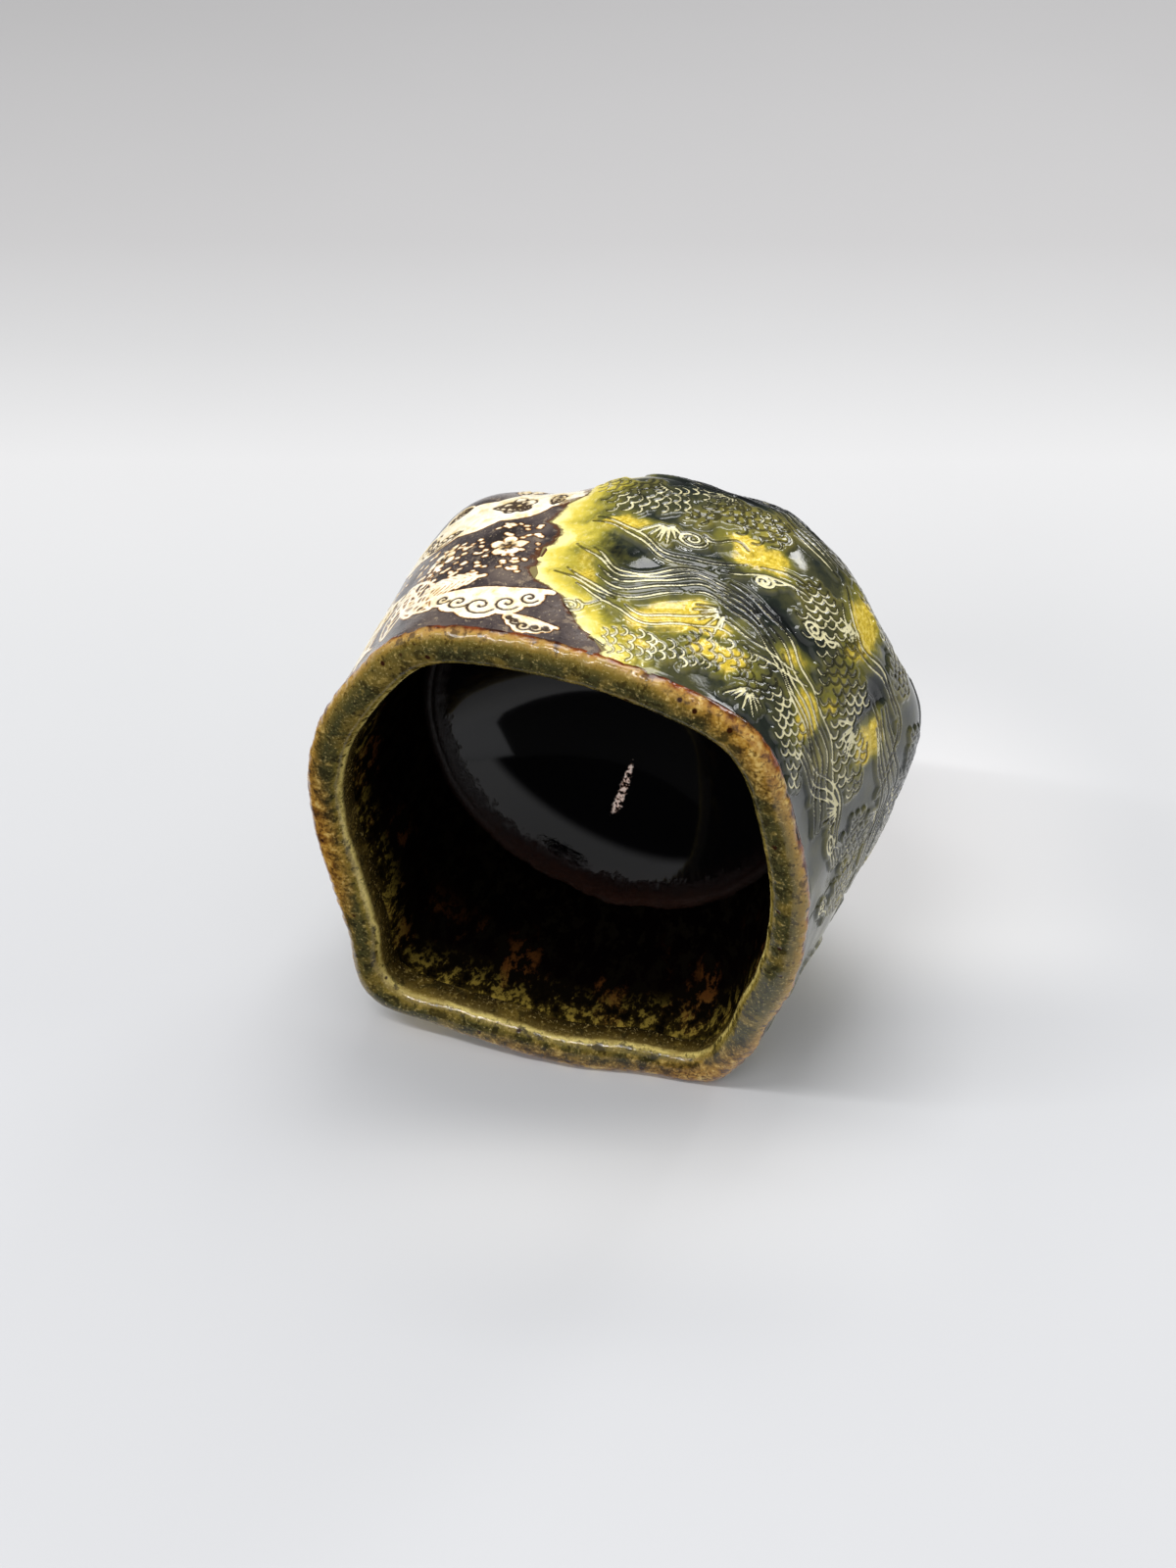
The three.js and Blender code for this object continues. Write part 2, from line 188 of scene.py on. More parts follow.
# Leaves: root, lean, length, width, bend, and whether they are filled
LEAVES = (
    ((299, 18), 172, 4.4, 1.9, 0.3, True), ((303, 22), 12, 5.0, 1.9, 0.3, True),
    ((318, 20), 178, 3.4, 1.6, 0.2, True), ((288, 14), 100, 3.6, 1.7, 0.3, True),
    ((310, 18), -160, 3.4, 1.5, 0.2, True), ((349, 18), 170, 3.2, 1.6, 0.2, True),
    ((368, 18), 10, 3.6, 1.6, 0.2, True), ((300, 9), 118, 5.6, 2.3, 0.5, True),
    ((309, 8), 60, 5.6, 2.2, -0.4, True), ((321, 9), 112, 5.6, 2.2, -0.4, True),
    ((334, 10), 62, 6.0, 2.4, 0.4, True), ((346, 9), 118, 5.0, 2.0, 0.4, True),
    ((370, 9), 78, 5.4, 2.2, 0.4, True), ((324, 8), -60, 4.2, 1.7, 0.3, True),
    ((340, 27), 104, 5.6, 2.2, -0.4, True), ((302, 39), -62, 9.5, 4.4, -0.9, False),
    ((309, 40), -92, 8.6, 3.8, 0.7, False), ((297, 39), -32, 7.0, 3.0, -0.6, False),
    ((360, 35), 20, 4.6, 1.8, 0.3, True), ((333, 36), 70, 4.6, 1.9, 0.4, True),
    ((350, 38), -110, 7.0, 3.0, 0.6, False),
)
# Ferns: root, lean, length, leaflets, bend
FERNS = (
    ((320, 40), -84, 12, 10, 1.2), ((328, 41), -104, 11, 10, 1.5), ((290, 33), 20, 7, 8, -0.8),
    ((366, 41), -75, 10, 9, -1.4), ((376, 41), -100, 8, 8, 1.2),
)
# Blossoms: turn and height, size, a seed, and the white patch under them
BLOSSOMS = (
    ((294, 17.6), 2.1, 4, 1.0), ((312.5, 21.2), 1.9, 3, 1.0), ((289.5, 27), 1.9, 9, 0),
    ((358, 17.2), 2.2, 1, 1.0), ((313, 6.5), 1.8, 7, 0), ((338, 5.5), 1.8, 6, 0),
    ((333, 29), 2.2, 8, 0), ((371, 29), 2.0, 5, 0), ((303, 28), 1.7, 2, 0),
)
# Cloud scrolls: turn and height, size, lean
SCROLLS = (
    ((286, 37), 2.2, 8), ((276, 40.6), 1.0, -6), ((318, 31), 1.3, -10), ((343, 39.5), 1.2, 6),
    ((365, 5.5), 1.0, 4),
)
# A cloud's lobes: place and radius, as shares of its size
CLOUD_LOBES = (
    (-1.9, 0, 0.7), (-0.9, 0.5, 0.95), (0.35, 0.75, 1.15), (1.5, 0.35, 0.9), (2.4, -0.1, 0.6),
)
# Specks of slip: a corner, the opposite corner, how many
GRAVEL = (
    ((292, 25), (312, 34), 90), ((283, 22), (294, 32), 50), ((330, 24), (352, 33), 60),
    ((314, 24), (330, 30), 40), ((355, 22), (376, 28), 50), ((284, 5), (298, 11), 30),
)

# Stage, with places from the wall's axis, +Y towards the floor and +Z out of the mouth
FLOOR_RADIUS, FLOOR_LEVEL = 600, 30.6  # mm
# Directions on the floor: away from the photograph's eye, and to its left
ALONG_SIGHT, ACROSS_SIGHT = (0.362, 0, -0.932), (0.932, 0, 0.362)
# Painted light and shade on the floor from near to far: a bright band, then darker far off
FLOOR_PAINTED_LIGHT = (
    (0.0, "#e4e5e7"), (0.1, "#e4e5e7"), (0.18, "#e0e1e3"), (0.35, "#e6e7e8"), (0.5, "#eeeeee"),
    (0.6, "#dfdfdf"), (0.7, "#d4d3d3"), (1.0, "#cccbcb"),
)
DARK_SIDE = (0.207, 0.446, 0.871)  # the side of the room that the pool mirrors
# The dark card over the floor: its level and its corners' X and Z, in mm
CARD_LEVEL = 30.3
CARD_OUTLINE = (
    (-34, 71), (-24, 64), (-6, 59.5), (60, 38), (120, 20), (600, 20), (600, 600), (-400, 600),
    (-157, 242),
)
# Lamps: place and size in metres, watts, and whether the glazes mirror them
LAMPS = (
    ("key_softbox", (0.03, -0.60, -0.16), 0.30, 0.30, 1.85, True),
    ("fill_softbox", (0.15, -0.30, 0.53), 0.30, 0.30, 1.0, False),
    ("strip_lamp", (0.17, -0.52, 0.28), 0.50, 0.014, 1.9, True),
    ("window_lamp", (-0.22, -0.42, -0.58), 0.20, 0.16, 0.9, True),
    ("back_softbox", (-0.16, 0.55, -0.16), 0.40, 0.40, 1.6, False),
)
LIT_HEIGHT = 22  # mm up the axis, where the lamps point
# The camera's right, up and backward directions, and where it sees the axis's foot, in mm
CAMERA_AXES = (
    (-0.93263, -0.00262, -0.36083), (0.23194, -0.77037, -0.59391), (-0.27642, -0.63759, 0.71908),
)
CUP_BEFORE_CAMERA = (11.682, 14.313, -297.769)


# Shape of the wall -----------------------------------------------------------------------------

def mix(start, end, share):
    return start + (end - start) * share


def ease(share):
    share = np.clip(share, 0, 1)
    return share * share * (3 - 2 * share)


def around(keys, turn, column=1):
    """A value that runs smoothly round the cup through its keys."""
    at = np.concatenate([keys[:, 0] - 360, keys[:, 0], keys[:, 0] + 360])
    value = np.tile(keys[:, column], 3)
    slope = np.gradient(value, at)
    turn = np.mod(turn, 360)
    i = np.searchsorted(at, turn, side="right") - 1
    span = at[i + 1] - at[i]
    s = (turn - at[i]) / span
    leave = slope[i] * span * s * (1 - s) ** 2
    arrive = slope[i + 1] * span * s ** 2 * (s - 1)
    return mix(value[i], value[i + 1], ease(s)) + leave + arrive


def aside(turn, centre):
    """Degrees from a centre to a turn, the short way round."""
    return np.mod(turn - centre + 180, 360) - 180


def shoulder(turn):
    size = bpy.context.scene.cup_sizes
    return (size.mouth_height - size.lip_crown) / MM + around(LIP_PULLS, turn, 2)


def wall_radius(turn, height):
    """The finished outer face of the wall."""
    size = bpy.context.scene.cup_sizes
    belly_height, foot_height = size.belly_height / MM, size.foot_height / MM
    belly = size.belly_radius / MM + around(BELLY_PULLS, turn)
    lip = size.mouth_radius / MM + around(LIP_PULLS, turn)
    rise = (height - belly_height) / (shoulder(turn) - belly_height)
    drop = np.maximum(belly_height - height, 0) / (belly_height - foot_height)
    radius = mix(belly, lip, ease(rise)) - 9.0 * drop ** 1.9
    for centre, level, push, width, tall in PRESSES:
        radius = radius + push * np.exp(
            -(aside(turn, centre) / width) ** 2 - ((height - level) / tall) ** 2)
    return radius


def place(turn, radius, height, moved=0.0):
    """Points in metres, from turns, radii and heights round the wall's axis, or moved a share of
    the way to the bowl's."""
    angle = np.radians(turn)
    return MM * np.stack([
        radius * np.cos(angle) + BODY_LEAN[0] + moved * BOWL_LEAN[0],
        radius * np.sin(angle) + BODY_LEAN[1] + moved * BOWL_LEAN[1], height,
    ], -1)


def mottle(x, y, size, seed):
    """Smooth noise from -1 to 1 with patches of a size in mm, which closes on itself in x."""
    wide = max(4, round(CIRCUIT / size))
    table = np.random.default_rng(seed).uniform(-1, 1, (97, wide))
    u, v = np.asarray(x) / CIRCUIT * wide, np.asarray(y) / size
    i, j = np.floor(u).astype(int), np.floor(v).astype(int)
    a, b = ease(u - i), ease(v - j)
    i, k = np.mod(i, wide), np.mod(i + 1, wide)
    j, l = np.mod(j, 97), np.mod(j + 1, 97)
    return mix(mix(table[j, i], table[j, k], a), mix(table[l, i], table[l, k], a), b)


def rough(x, y, size, seed, layers=3):
    """Layers of smooth noise, each half as wide and half as strong as the last."""
    return sum(mottle(x, y, size / 2 ** n, seed + n) / 2 ** n for n in range(layers))


def slip_edge(edge, height):
    """Where an edge of the slip panel stands at a height, with its ragged outline."""
    along = height + 40.0 * edge
    ragged = 2.4 * mottle(along, 11.0 * edge, 5.5, 78 + edge)
    ragged = ragged + 1.9 * rough(along, 11.0 * edge, 2.2, 70 + edge, 4)
    return np.interp(height, SLIP_EDGES[:, 0], SLIP_EDGES[:, edge]) + ragged


def leaning(turn, height):
    """A column's turn at a height. Near the slip panel the columns lean with its edges."""
    leaned = turn
    for edge, home in ((1, SLIP_EDGES[0, 1]), (2, SLIP_EDGES[0, 2])):
        near = np.maximum(0, 1 - np.abs(aside(turn, home)) / EDGE_REACH)
        leaned = leaned + (slip_edge(edge, height) - home) * near
    return leaned


# Carved and inlaid patterns --------------------------------------------------------------------

class Sheet:
    """The wall laid flat: at each point, how deep it lies inside the nearest stroke, in mm."""

    step = 0.1
    reach = 0.9

    def __init__(self):
        self.wide, self.tall = round(CIRCUIT / self.step), round(48 / self.step)
        self.depth = np.full((self.tall, self.wide), -self.reach)

    def stroke(self, points, half):
        """Draws through points, which are turns in degrees and heights in mm."""
        points = np.asarray(points, float) * (ARC, 1)
        half = np.broadcast_to(half, len(points))
        for a, b, ha, hb in zip(points[:-1], points[1:], half[:-1], half[1:]):
            reach = self.reach + max(ha, hb)
            low = np.floor((np.minimum(a, b) - reach) / self.step).astype(int)
            high = np.ceil((np.maximum(a, b) + reach) / self.step).astype(int)
            rows = np.arange(max(low[1], 0), min(high[1], self.tall - 1) + 1)
            columns = np.arange(low[0], high[0] + 1)
            x, y = columns[None, :] * self.step - a[0], rows[:, None] * self.step - a[1]
            run = b - a
            share = np.clip((x * run[0] + y * run[1]) / max(run @ run, 1e-9), 0, 1)
            depth = mix(ha, hb, share) - np.hypot(x - share * run[0], y - share * run[1])
            where = np.ix_(rows, np.mod(columns, self.wide))
            self.depth[where] = np.maximum(self.depth[where], depth)

    def at(self, turn, height):
        u = np.mod(turn * ARC, CIRCUIT) / self.step
        v = np.clip(height / self.step, 0, self.tall - 2)
        i, j = np.floor(u).astype(int), np.floor(v).astype(int)
        a, b = u - i, v - j
        i, k = np.mod(i, self.wide), np.mod(i + 1, self.wide)
        d = self.depth
        return mix(mix(d[j, i], d[j, k], a), mix(d[j + 1, i], d[j + 1, k], a), b)


def smooth_line(keys, spacing=0.45):
    """A smooth line through keys of turn and height, with points a spacing apart in mm."""
    keys = np.asarray(keys, float) * (ARC, 1)
    at = np.concatenate([[0], np.cumsum(np.hypot(*np.diff(keys, axis=0).T))])
    slope = np.gradient(keys, at, axis=0)
    along = np.linspace(0, at[-1], max(3, round(at[-1] / spacing)))
    i = np.clip(np.searchsorted(at, along, side="right") - 1, 0, len(keys) - 2)
    span = (at[i + 1] - at[i])[:, None]
    s = (along - at[i])[:, None] / span
    line = (mix(keys[i], keys[i + 1], ease(s)) + slope[i] * span * s * (1 - s) ** 2
            + slope[i + 1] * span * s ** 2 * (s - 1))
    return line, along


def beside(line, offset):
    """A line in flat mm moved sideways."""
    run = np.gradient(line, axis=0)
    run /= np.hypot(*run.T)[:, None]
    return line + np.stack([-run[:, 1], run[:, 0]], 1) * np.reshape(offset, (-1, 1))


def on_wall(line):
    """Flat mm as turns and heights."""
    return np.asarray(line) / (ARC, 1)


def heading(lean):
    """The directions along and across a lean in degrees, as rows."""
    angle = math.radians(lean)
    return np.array([[math.cos(angle), math.sin(angle)], [-math.sin(angle), math.cos(angle)]])


def stream(sheet, keys, count, gap, seed, half=0.085):
    """Flowing water: lines side by side that swell apart and break here and there."""
    rng = np.random.default_rng(seed)
    line, along = smooth_line(keys)
    whole = along[-1]
    for n in range(count):
        swell = 1 + 0.35 * np.sin(along / whole * math.pi * 2 + n * 0.5 + seed)
        wave = 0.16 * np.sin(along * 1.1 + n * 0.9 + seed)
        side = beside(line, (n - (count - 1) / 2) * gap * swell + wave)
        start, stop = rng.uniform(0, 0.12) * len(line), (1 - rng.uniform(0, 0.12)) * len(line)
        kept = side[int(start):int(stop)]
        cut = int(rng.uniform(0.2, 0.8) * len(kept))
        for part in (kept[:cut], kept[cut + 2:]):
            if len(part) > 3:
                from_end = np.arange(len(part))
                taper = np.clip(np.minimum(from_end, from_end[::-1]) / 4, 0.35, 1)
                sheet.stroke(on_wall(part), half * taper)


def wave_field(sheet, keys, width, seed, cell=1.5, half=0.058):
    """Rows of wave arcs along a line, thinned out here and there."""
    rng = np.random.default_rng(seed)
    line, along = smooth_line(keys)
    run = np.gradient(line, axis=0)
    run /= np.hypot(*run.T)[:, None]
    across = np.stack([-run[:, 1], run[:, 0]], 1)
    sweep = np.linspace(-1.45, 1.45, 6)
    for row, distance in enumerate(np.arange(0, along[-1], cell * 0.6)):
        i = min(np.searchsorted(along, distance), len(line) - 1)
        room = width / 2 * math.sin(math.pi * (0.1 + 0.8 * distance / along[-1])) ** 0.5
        room *= 1 + 0.3 * math.sin(distance * 0.9 + seed)
        for spot in np.arange(-room + (row % 2) * cell * 0.5, room + 0.01, cell):
            if rng.random() < 0.1:
                continue
            centre = line[i] + across[i] * spot + rng.uniform(-0.08, 0.08, 2)
            arc = np.cos(sweep)[:, None] * run[i] + np.sin(sweep)[:, None] * across[i]
            sheet.stroke(on_wall(centre + cell * 0.46 * arc), half * rng.uniform(0.7, 1.3))


def cloud(sheet, centre, size, seed, half=0.11):
    """A cloud scroll: a curl with two lobes that trail away from it."""
    lean = np.random.default_rng(seed).uniform(-0.6, 0.6)
    curl = np.linspace(0, 3.4 * math.pi, 26)
    reach = size * (0.16 + 0.84 * curl / curl[-1])
    x, y = reach * np.cos(curl + lean), 0.72 * reach * np.sin(curl + lean)
    tail = np.linspace(0, 1, 14)
    tx, ty = x[-1] - size * 2.6 * tail, y[-1] + size * (0.35 * np.sin(tail * 7) - 0.5 * tail)
    centre = np.array(centre) * (ARC, 1)
    sheet.stroke(on_wall(np.stack([x, y], 1) + centre), half)
    sheet.stroke(on_wall(np.stack([tx, ty], 1) + centre), half * np.linspace(1, 0.4, 14))


def needles(sheet, root, lean, length, seed, spread=90, count=7, half=0.1):
    """A tuft of pine needles fanned out of one root."""
    rng = np.random.default_rng(seed)
    root = np.array(root) * (ARC, 1)
    for n in range(count):
        run, side = heading(lean + spread * (n / (count - 1) - 0.5) + rng.uniform(-4, 4))
        reach = length * rng.uniform(0.7, 1)
        share = np.linspace(0.3, 1, 6)[:, None]
        bow = rng.uniform(-0.14, 0.14) * reach
        line = root + reach * share * run + bow * share ** 2 * side
        sheet.stroke(on_wall(line), half * np.linspace(1.15, 0.45, 6))


def leaf(white, vein, root, lean, length, width, bend=0.0, filled=True):
    """An almond leaf: filled, with its outline and veins cut back through the slip, or drawn in
    lines of slip."""
    share = np.linspace(0, 1, 14)
    facing = run, side = heading(lean)
    line = (np.array(root) * (ARC, 1) + length * share[:, None] * run
            + bend * np.sin(share * math.pi)[:, None] * side)
    swell = width / 2 * np.sin(share * math.pi) ** 0.75
    if filled:
        white.stroke(on_wall(line), swell + 0.3)
    sheet, half = (vein, 0.12) if filled else (white, 0.17)
    sheet.stroke(on_wall(line[:-1]), half)
    for way in (-1, 1):
        sheet.stroke(on_wall(line + side * (way * swell)[:, None]), half)
        for n in (2, 4, 6, 8, 10):
            rib = np.array([[0, 0], [0.5, way * 0.42], [0.8, way * 0.8]]) * swell[n]
            sheet.stroke(on_wall(line[n] + rib @ facing), (half, 0.08, 0.06))


def frond(white, root, lean, length, count, bend=1.5):
    """A fern: a bowed stalk with thin leaflets on both sides."""
    facing = run, side = heading(lean)
    share = np.linspace(0, 1, 20)
    line = (np.array(root) * (ARC, 1) + length * share[:, None] * run
            + bend * (share * share)[:, None] * side)
    white.stroke(on_wall(line), np.linspace(0.22, 0.12, 20))
    for n in np.linspace(2, 17, count).astype(int):
        reach = length * 0.34 * math.sin(math.pi * (0.15 + 0.8 * n / 19))
        for way in (-1, 1):
            tip = np.array([[0, 0], [0.45, way * 0.5], [0.8, way * 0.75]]) * reach
            white.stroke(on_wall(line[n] + tip @ facing), (0.18, 0.15, 0.08))


def cloud_patch(white, vein, centre, size, lean=0.0):
    """A white cloud with a flat foot, and scrolls cut back through it."""
    facing = heading(lean)
    middle = np.array(centre) * (ARC, 1)
    for x, y, reach in CLOUD_LOBES:
        spot = np.array([[x, y], [x + 0.05, y]]) * size @ facing
        white.stroke(on_wall(middle + spot), reach * size)
        curl = np.linspace(0.4, 2.9 * math.pi, 16)
        reach *= size * 0.72 * curl[:, None] / curl[-1]
        scroll = reach * np.stack([np.cos(curl), np.sin(curl)], 1)
        vein.stroke(on_wall(middle + spot[0] + scroll), 0.12)
    foot = np.array([[-2.9, -0.55], [0, -0.45], [3.4, -0.6]]) * size @ facing
    white.stroke(on_wall(middle + foot), np.array([0.15, 0.4, 0.1]) * size)


def blossom(white, vein, centre, size, seed, ground=0.0):
    """A plum blossom: five round petals, a ring of stamens and its heart. With ground, it is an
    outline on a white patch."""
    start = np.random.default_rng(seed).uniform(0, 72)
    middle = np.array(centre) * (ARC, 1)
    if ground:
        white.stroke(on_wall(middle + np.array([[-0.3, 0], [0.3, 0.1]]) * size), size * ground)
    for petal in range(5):
        angle = math.radians(start + 72 * petal)
        run = np.array([math.cos(angle), math.sin(angle)])
        if ground:
            edge = np.linspace(-2.2, 2.2, 9) + angle
            petal_edge = 0.62 * run + 0.34 * np.stack([np.cos(edge), np.sin(edge)], 1)
            vein.stroke(on_wall(middle + size * petal_edge), 0.12)
        else:
            heart_to_tip = size * np.array([[0.42], [0.66]]) * run
            white.stroke(on_wall(middle + heart_to_tip), (0.2 * size, 0.34 * size))
        for swing in (-0.3, 0, 0.3):
            thin = np.array([math.cos(angle + swing), math.sin(angle + swing)])
            vein.stroke(on_wall(middle + size * np.array([[0.18], [0.5]]) * thin), (0.08, 0.06))


def draw_wall():
    """All that is cut into the green side, laid into the slip panel, and cut back through that."""
    cut, white, vein = Sheet(), Sheet(), Sheet()
    for field in WAVE_FIELDS:
        wave_field(cut, *field)
    for water in STREAMS:
        stream(cut, *water)
    for curl in CURLS:
        cloud(cut, *curl)
    for tuft in TUFTS:
        needles(cut, *tuft)

    for keys in TENDRILS:
        white.stroke(on_wall(smooth_line(keys)[0]), 0.17)
    for keys, half in BANKS:
        line, along = smooth_line(keys, 0.8)
        swell = np.interp(along / along[-1], np.linspace(0, 1, len(half)), half)
        white.stroke(on_wall(line), swell * (1 + 0.12 * np.sin(along * 1.3)))
    for draw, shapes in ((leaf, LEAVES), (blossom, BLOSSOMS), (cloud_patch, SCROLLS)):
        for values in shapes:
            draw(white, vein, *values)
    for fern in FERNS:
        frond(white, *fern)
    rng = np.random.default_rng(9)
    for low, high, count in GRAVEL:
        for turn, height in rng.uniform(low, high, (count, 2)):
            end = (turn + 0.5, height + rng.uniform(-0.2, 0.2))
            white.stroke([(turn, height), end], rng.uniform(0.06, 0.19))
    return cut, white, vein


# Pieces ----------------------------------------------------------------------------------------

def placed(name, data):
    """A new object in the scene, at the origin."""
    made = bpy.data.objects.new(name, data)
    bpy.context.scene.collection.objects.link(made)
    return made


def mesh_of(bm, name, material):
    mesh = bpy.data.meshes.new(name)
    bm.to_mesh(mesh)
    bm.free()
    mesh.materials.append(material)
    return mesh


def hand_over(piece, replaces):
    """Tells the frame which node a finished piece stands for."""
    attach(piece, "root")
    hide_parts(replaces)


def face_normals(points):
    """Outward normals of a grid of points whose columns turn and whose rows climb the face."""
    across = np.gradient(points, axis=1)
    if np.allclose(points[:, 0], points[:, -1]):
        across[:, 0] = across[:, -1] = (points[:, 1] - points[:, -2]) / 2
    up = np.gradient(points, axis=0)
    normal = np.cross(across, up)
    return normal / np.maximum(np.linalg.norm(normal, axis=2, keepdims=True), 1e-12)


def carried_piece(name, points, marks, replaces, material):
    """A piece from a flat grid whose points are carried onto the cup: columns turn round it and
    rows follow its section. Marks are values that its material reads."""
    rows, columns = points.shape[0] - 1, points.shape[1] - 1
    bm = bmesh.new()
    bmesh.ops.create_grid(bm, x_segments=columns, y_segments=rows, size=0.5)
    mesh = bpy.data.meshes.new(name)
    bm.to_mesh(mesh)
    flat = np.empty(len(mesh.vertices) * 3)
    mesh.vertices.foreach_get("co", flat)
    cell = np.rint((flat.reshape(-1, 3)[:, :2] + 0.5) * (columns, rows)).astype(int)
    mesh.vertices.foreach_set("co", points[cell[:, 1], cell[:, 0]].ravel())
    for mark, values in marks.items():
        layer = mesh.attributes.new(mark, "FLOAT", "POINT")
        values = np.broadcast_to(values, points.shape[:2])
        layer.data.foreach_set("value", values[cell[:, 1], cell[:, 0]].astype(np.float32))
    bm.clear()
    bm.from_mesh(mesh)
    bmesh.ops.remove_doubles(bm, verts=bm.verts, dist=1e-6)
    for face in bm.faces:
        face.smooth = True
    open_edges = [edge for edge in bm.edges if edge.is_boundary]
    if open_edges:
        ends = bmesh.ops.holes_fill(bm, edges=open_edges, sides=0)
        for face in ends["faces"]:
            face.smooth = False
    bm.to_mesh(mesh)
    bm.free()
    mesh.update()
    mesh.materials.append(material)
    hand_over(placed(name, mesh), replaces)


def stack(*layers):
    return np.concatenate(layers, axis=0)


def closed(marks, hidden):
    """Marks of a face, carried on over its hidden rows and back to its first."""
    return {name: stack(value, np.repeat(value[-1:], hidden, 0), value[:1])
            for name, value in marks.items()}


def coat_height(turn, share):
    """Height on the outer coats, from the ragged line above the bare heel to the shoulder."""
    line = 4.4 + 0.5 * np.sin(np.radians(5 * turn)) + 0.25 * mottle(turn * ARC, 0, 5, 51)
    return mix(line, shoulder(turn), share)


def hand_unevenness(turn, height):
    x = turn * ARC
    return 0.24 * mottle(x, height, 8, 31) + 0.11 * mottle(x, height, 3.2, 32)


def outer_coat(name, first, last, columns, sheets, slot, replaces, material, rows=226):
    """One outer glaze: its carved face, its rolled lower edge and its hidden back."""
    home = np.linspace(first, last, columns + 1)[None, :]

    def at(share):
        share = np.asarray(share)[:, None]
        height = coat_height(home, share)
        for _ in range(3):
            turn = leaning(home, height)
            height = coat_height(turn, share)
        return turn, height, place(turn, wall_radius(turn, height), height)

    cut, white, vein = sheets
    turn, height, face = at(np.linspace(0, 1, rows + 1))
    normal = face_normals(face)
    x = turn * ARC
    cut_in, laid, veins = cut.at(turn, height), white.at(turn, height), vein.at(turn, height)
    from_panel = aside(turn, (SLIP_EDGES[0, 1] + SLIP_EDGES[0, 2]) / 2)
    border = np.where(from_panel < 0, turn - slip_edge(1, height), slip_edge(2, height) - turn)
    border = border * ARC
    border = np.where(np.abs(border) > 120, -60, border)
    relief = hand_unevenness(turn, height)
    green = slot == "green_glaze"
    if green:  # the glaze heaps up round the carved places
        relief = relief + 0.28 * ease((cut_in + 0.86) / 0.45)
    else:  # the white slip stands a little proud
        relief = relief + 0.07 * ease((laid + 0.1) / 0.3)
    uncut = relief
    lines = cut_in if green else veins
    relief = relief - 0.15 * ease((lines + 0.14) / 0.24)
    relief = relief + 0.04 * ease((lines + 0.42) / 0.28) * (lines < -0.14)
    fade = ease((height - height[:1]) / 1.2) * ease((height[-1:] - height) / 0.8)

    drift = 1.1 * rough(x, height, 3.4, 42, 4), 1.0 * rough(x, height, 3.0, 46, 4)

    def patches(spots):
        share = np.zeros_like(turn)
        for spot_turn, spot_height, long, tall, lean, strength in spots:
            dx, dy = aside(turn, spot_turn) * ARC + drift[0], height - spot_height + drift[1]
            angle = math.radians(lean)
            u = dx * math.cos(angle) + dy * math.sin(angle)
            v = dy * math.cos(angle) - dx * math.sin(angle)
            share = np.maximum(share, strength * np.exp(-0.5 * ((u / long) ** 2 + (v / tall) ** 2)))
        return share

    thin, deep = patches(AMBER_SPOTS), patches(DARK_POOLS) * green
    bead = np.exp(-((height - height[:1] - 0.35) / 0.45) ** 2) * 0.16
    outer = face + normal * (((relief - 0.3 * deep * deep) * fade + bead) * MM)[..., None]
    marks = {"cut": cut_in, "inlay": laid, "vein": veins, "thin": thin, "border": border,
             "pooled": uncut - 1.3 * deep}

    _, _, behind = at(np.linspace(1, 0, 7))
    behind = behind - face_normals(behind[::-1])[::-1] * COAT_BACK * MM
    points = stack(outer, behind, outer[:1])
    carried_piece(name, points, closed(marks, len(behind)), replaces, material)


def crown_ring(turn, share, depth):
    """The lip's rounded top: share 0 is its outer foot and 1 its inner one."""
    size = bpy.context.scene.cup_sizes
    half, crown = size.lip_thickness / MM / 2, size.lip_crown / MM
    arc = math.pi * share
    middle = wall_radius(turn, shoulder(turn)) - half
    return middle + (half - depth) * np.cos(arc), shoulder(turn) + (crown - depth) * np.sin(arc)


def hollow_wall(turn, share, depth=0.0):
    """The inner wall from the lip down to the edge of the pool."""
    size = bpy.context.scene.cup_sizes
    top = wall_radius(turn, shoulder(turn)) - size.lip_thickness / MM + depth
    foot = size.pool_radius / MM + 1.0 + depth
    moved = share * share
    return mix(top, foot, moved), mix(shoulder(turn), size.pool_height / MM, share), moved


def bowl(arc, depth):
    """The bowl that the pool fills: radius and height at an angle, a depth below its face."""
    size = bpy.context.scene.cup_sizes
    rim = size.pool_height / MM
    drop = (rim - size.bowl_bottom / MM + depth) / (1 - math.cos(BOWL_EDGE))
    radius = (size.pool_radius / MM + depth) * np.sin(arc) / math.sin(BOWL_EDGE)
    return radius, rim - drop * (np.cos(arc) - math.cos(BOWL_EDGE)), 1.0


# Colours and nodes -----------------------------------------------------------------------------

SMOOTH = {"interpolation_type": "SMOOTHSTEP"}
TIMES = {"operation": "MULTIPLY"}
COLOURS = {"data_type": "RGBA"}


def linear(hex_colour):
    """An sRGB hex colour as linear red, green and blue."""
    parts = [int(hex_colour[i:i + 2], 16) / 255 for i in (1, 3, 5)]
    return [c / 12.92 if c <= 0.04045 else ((c + 0.055) / 1.055) ** 2.4 for c in parts]


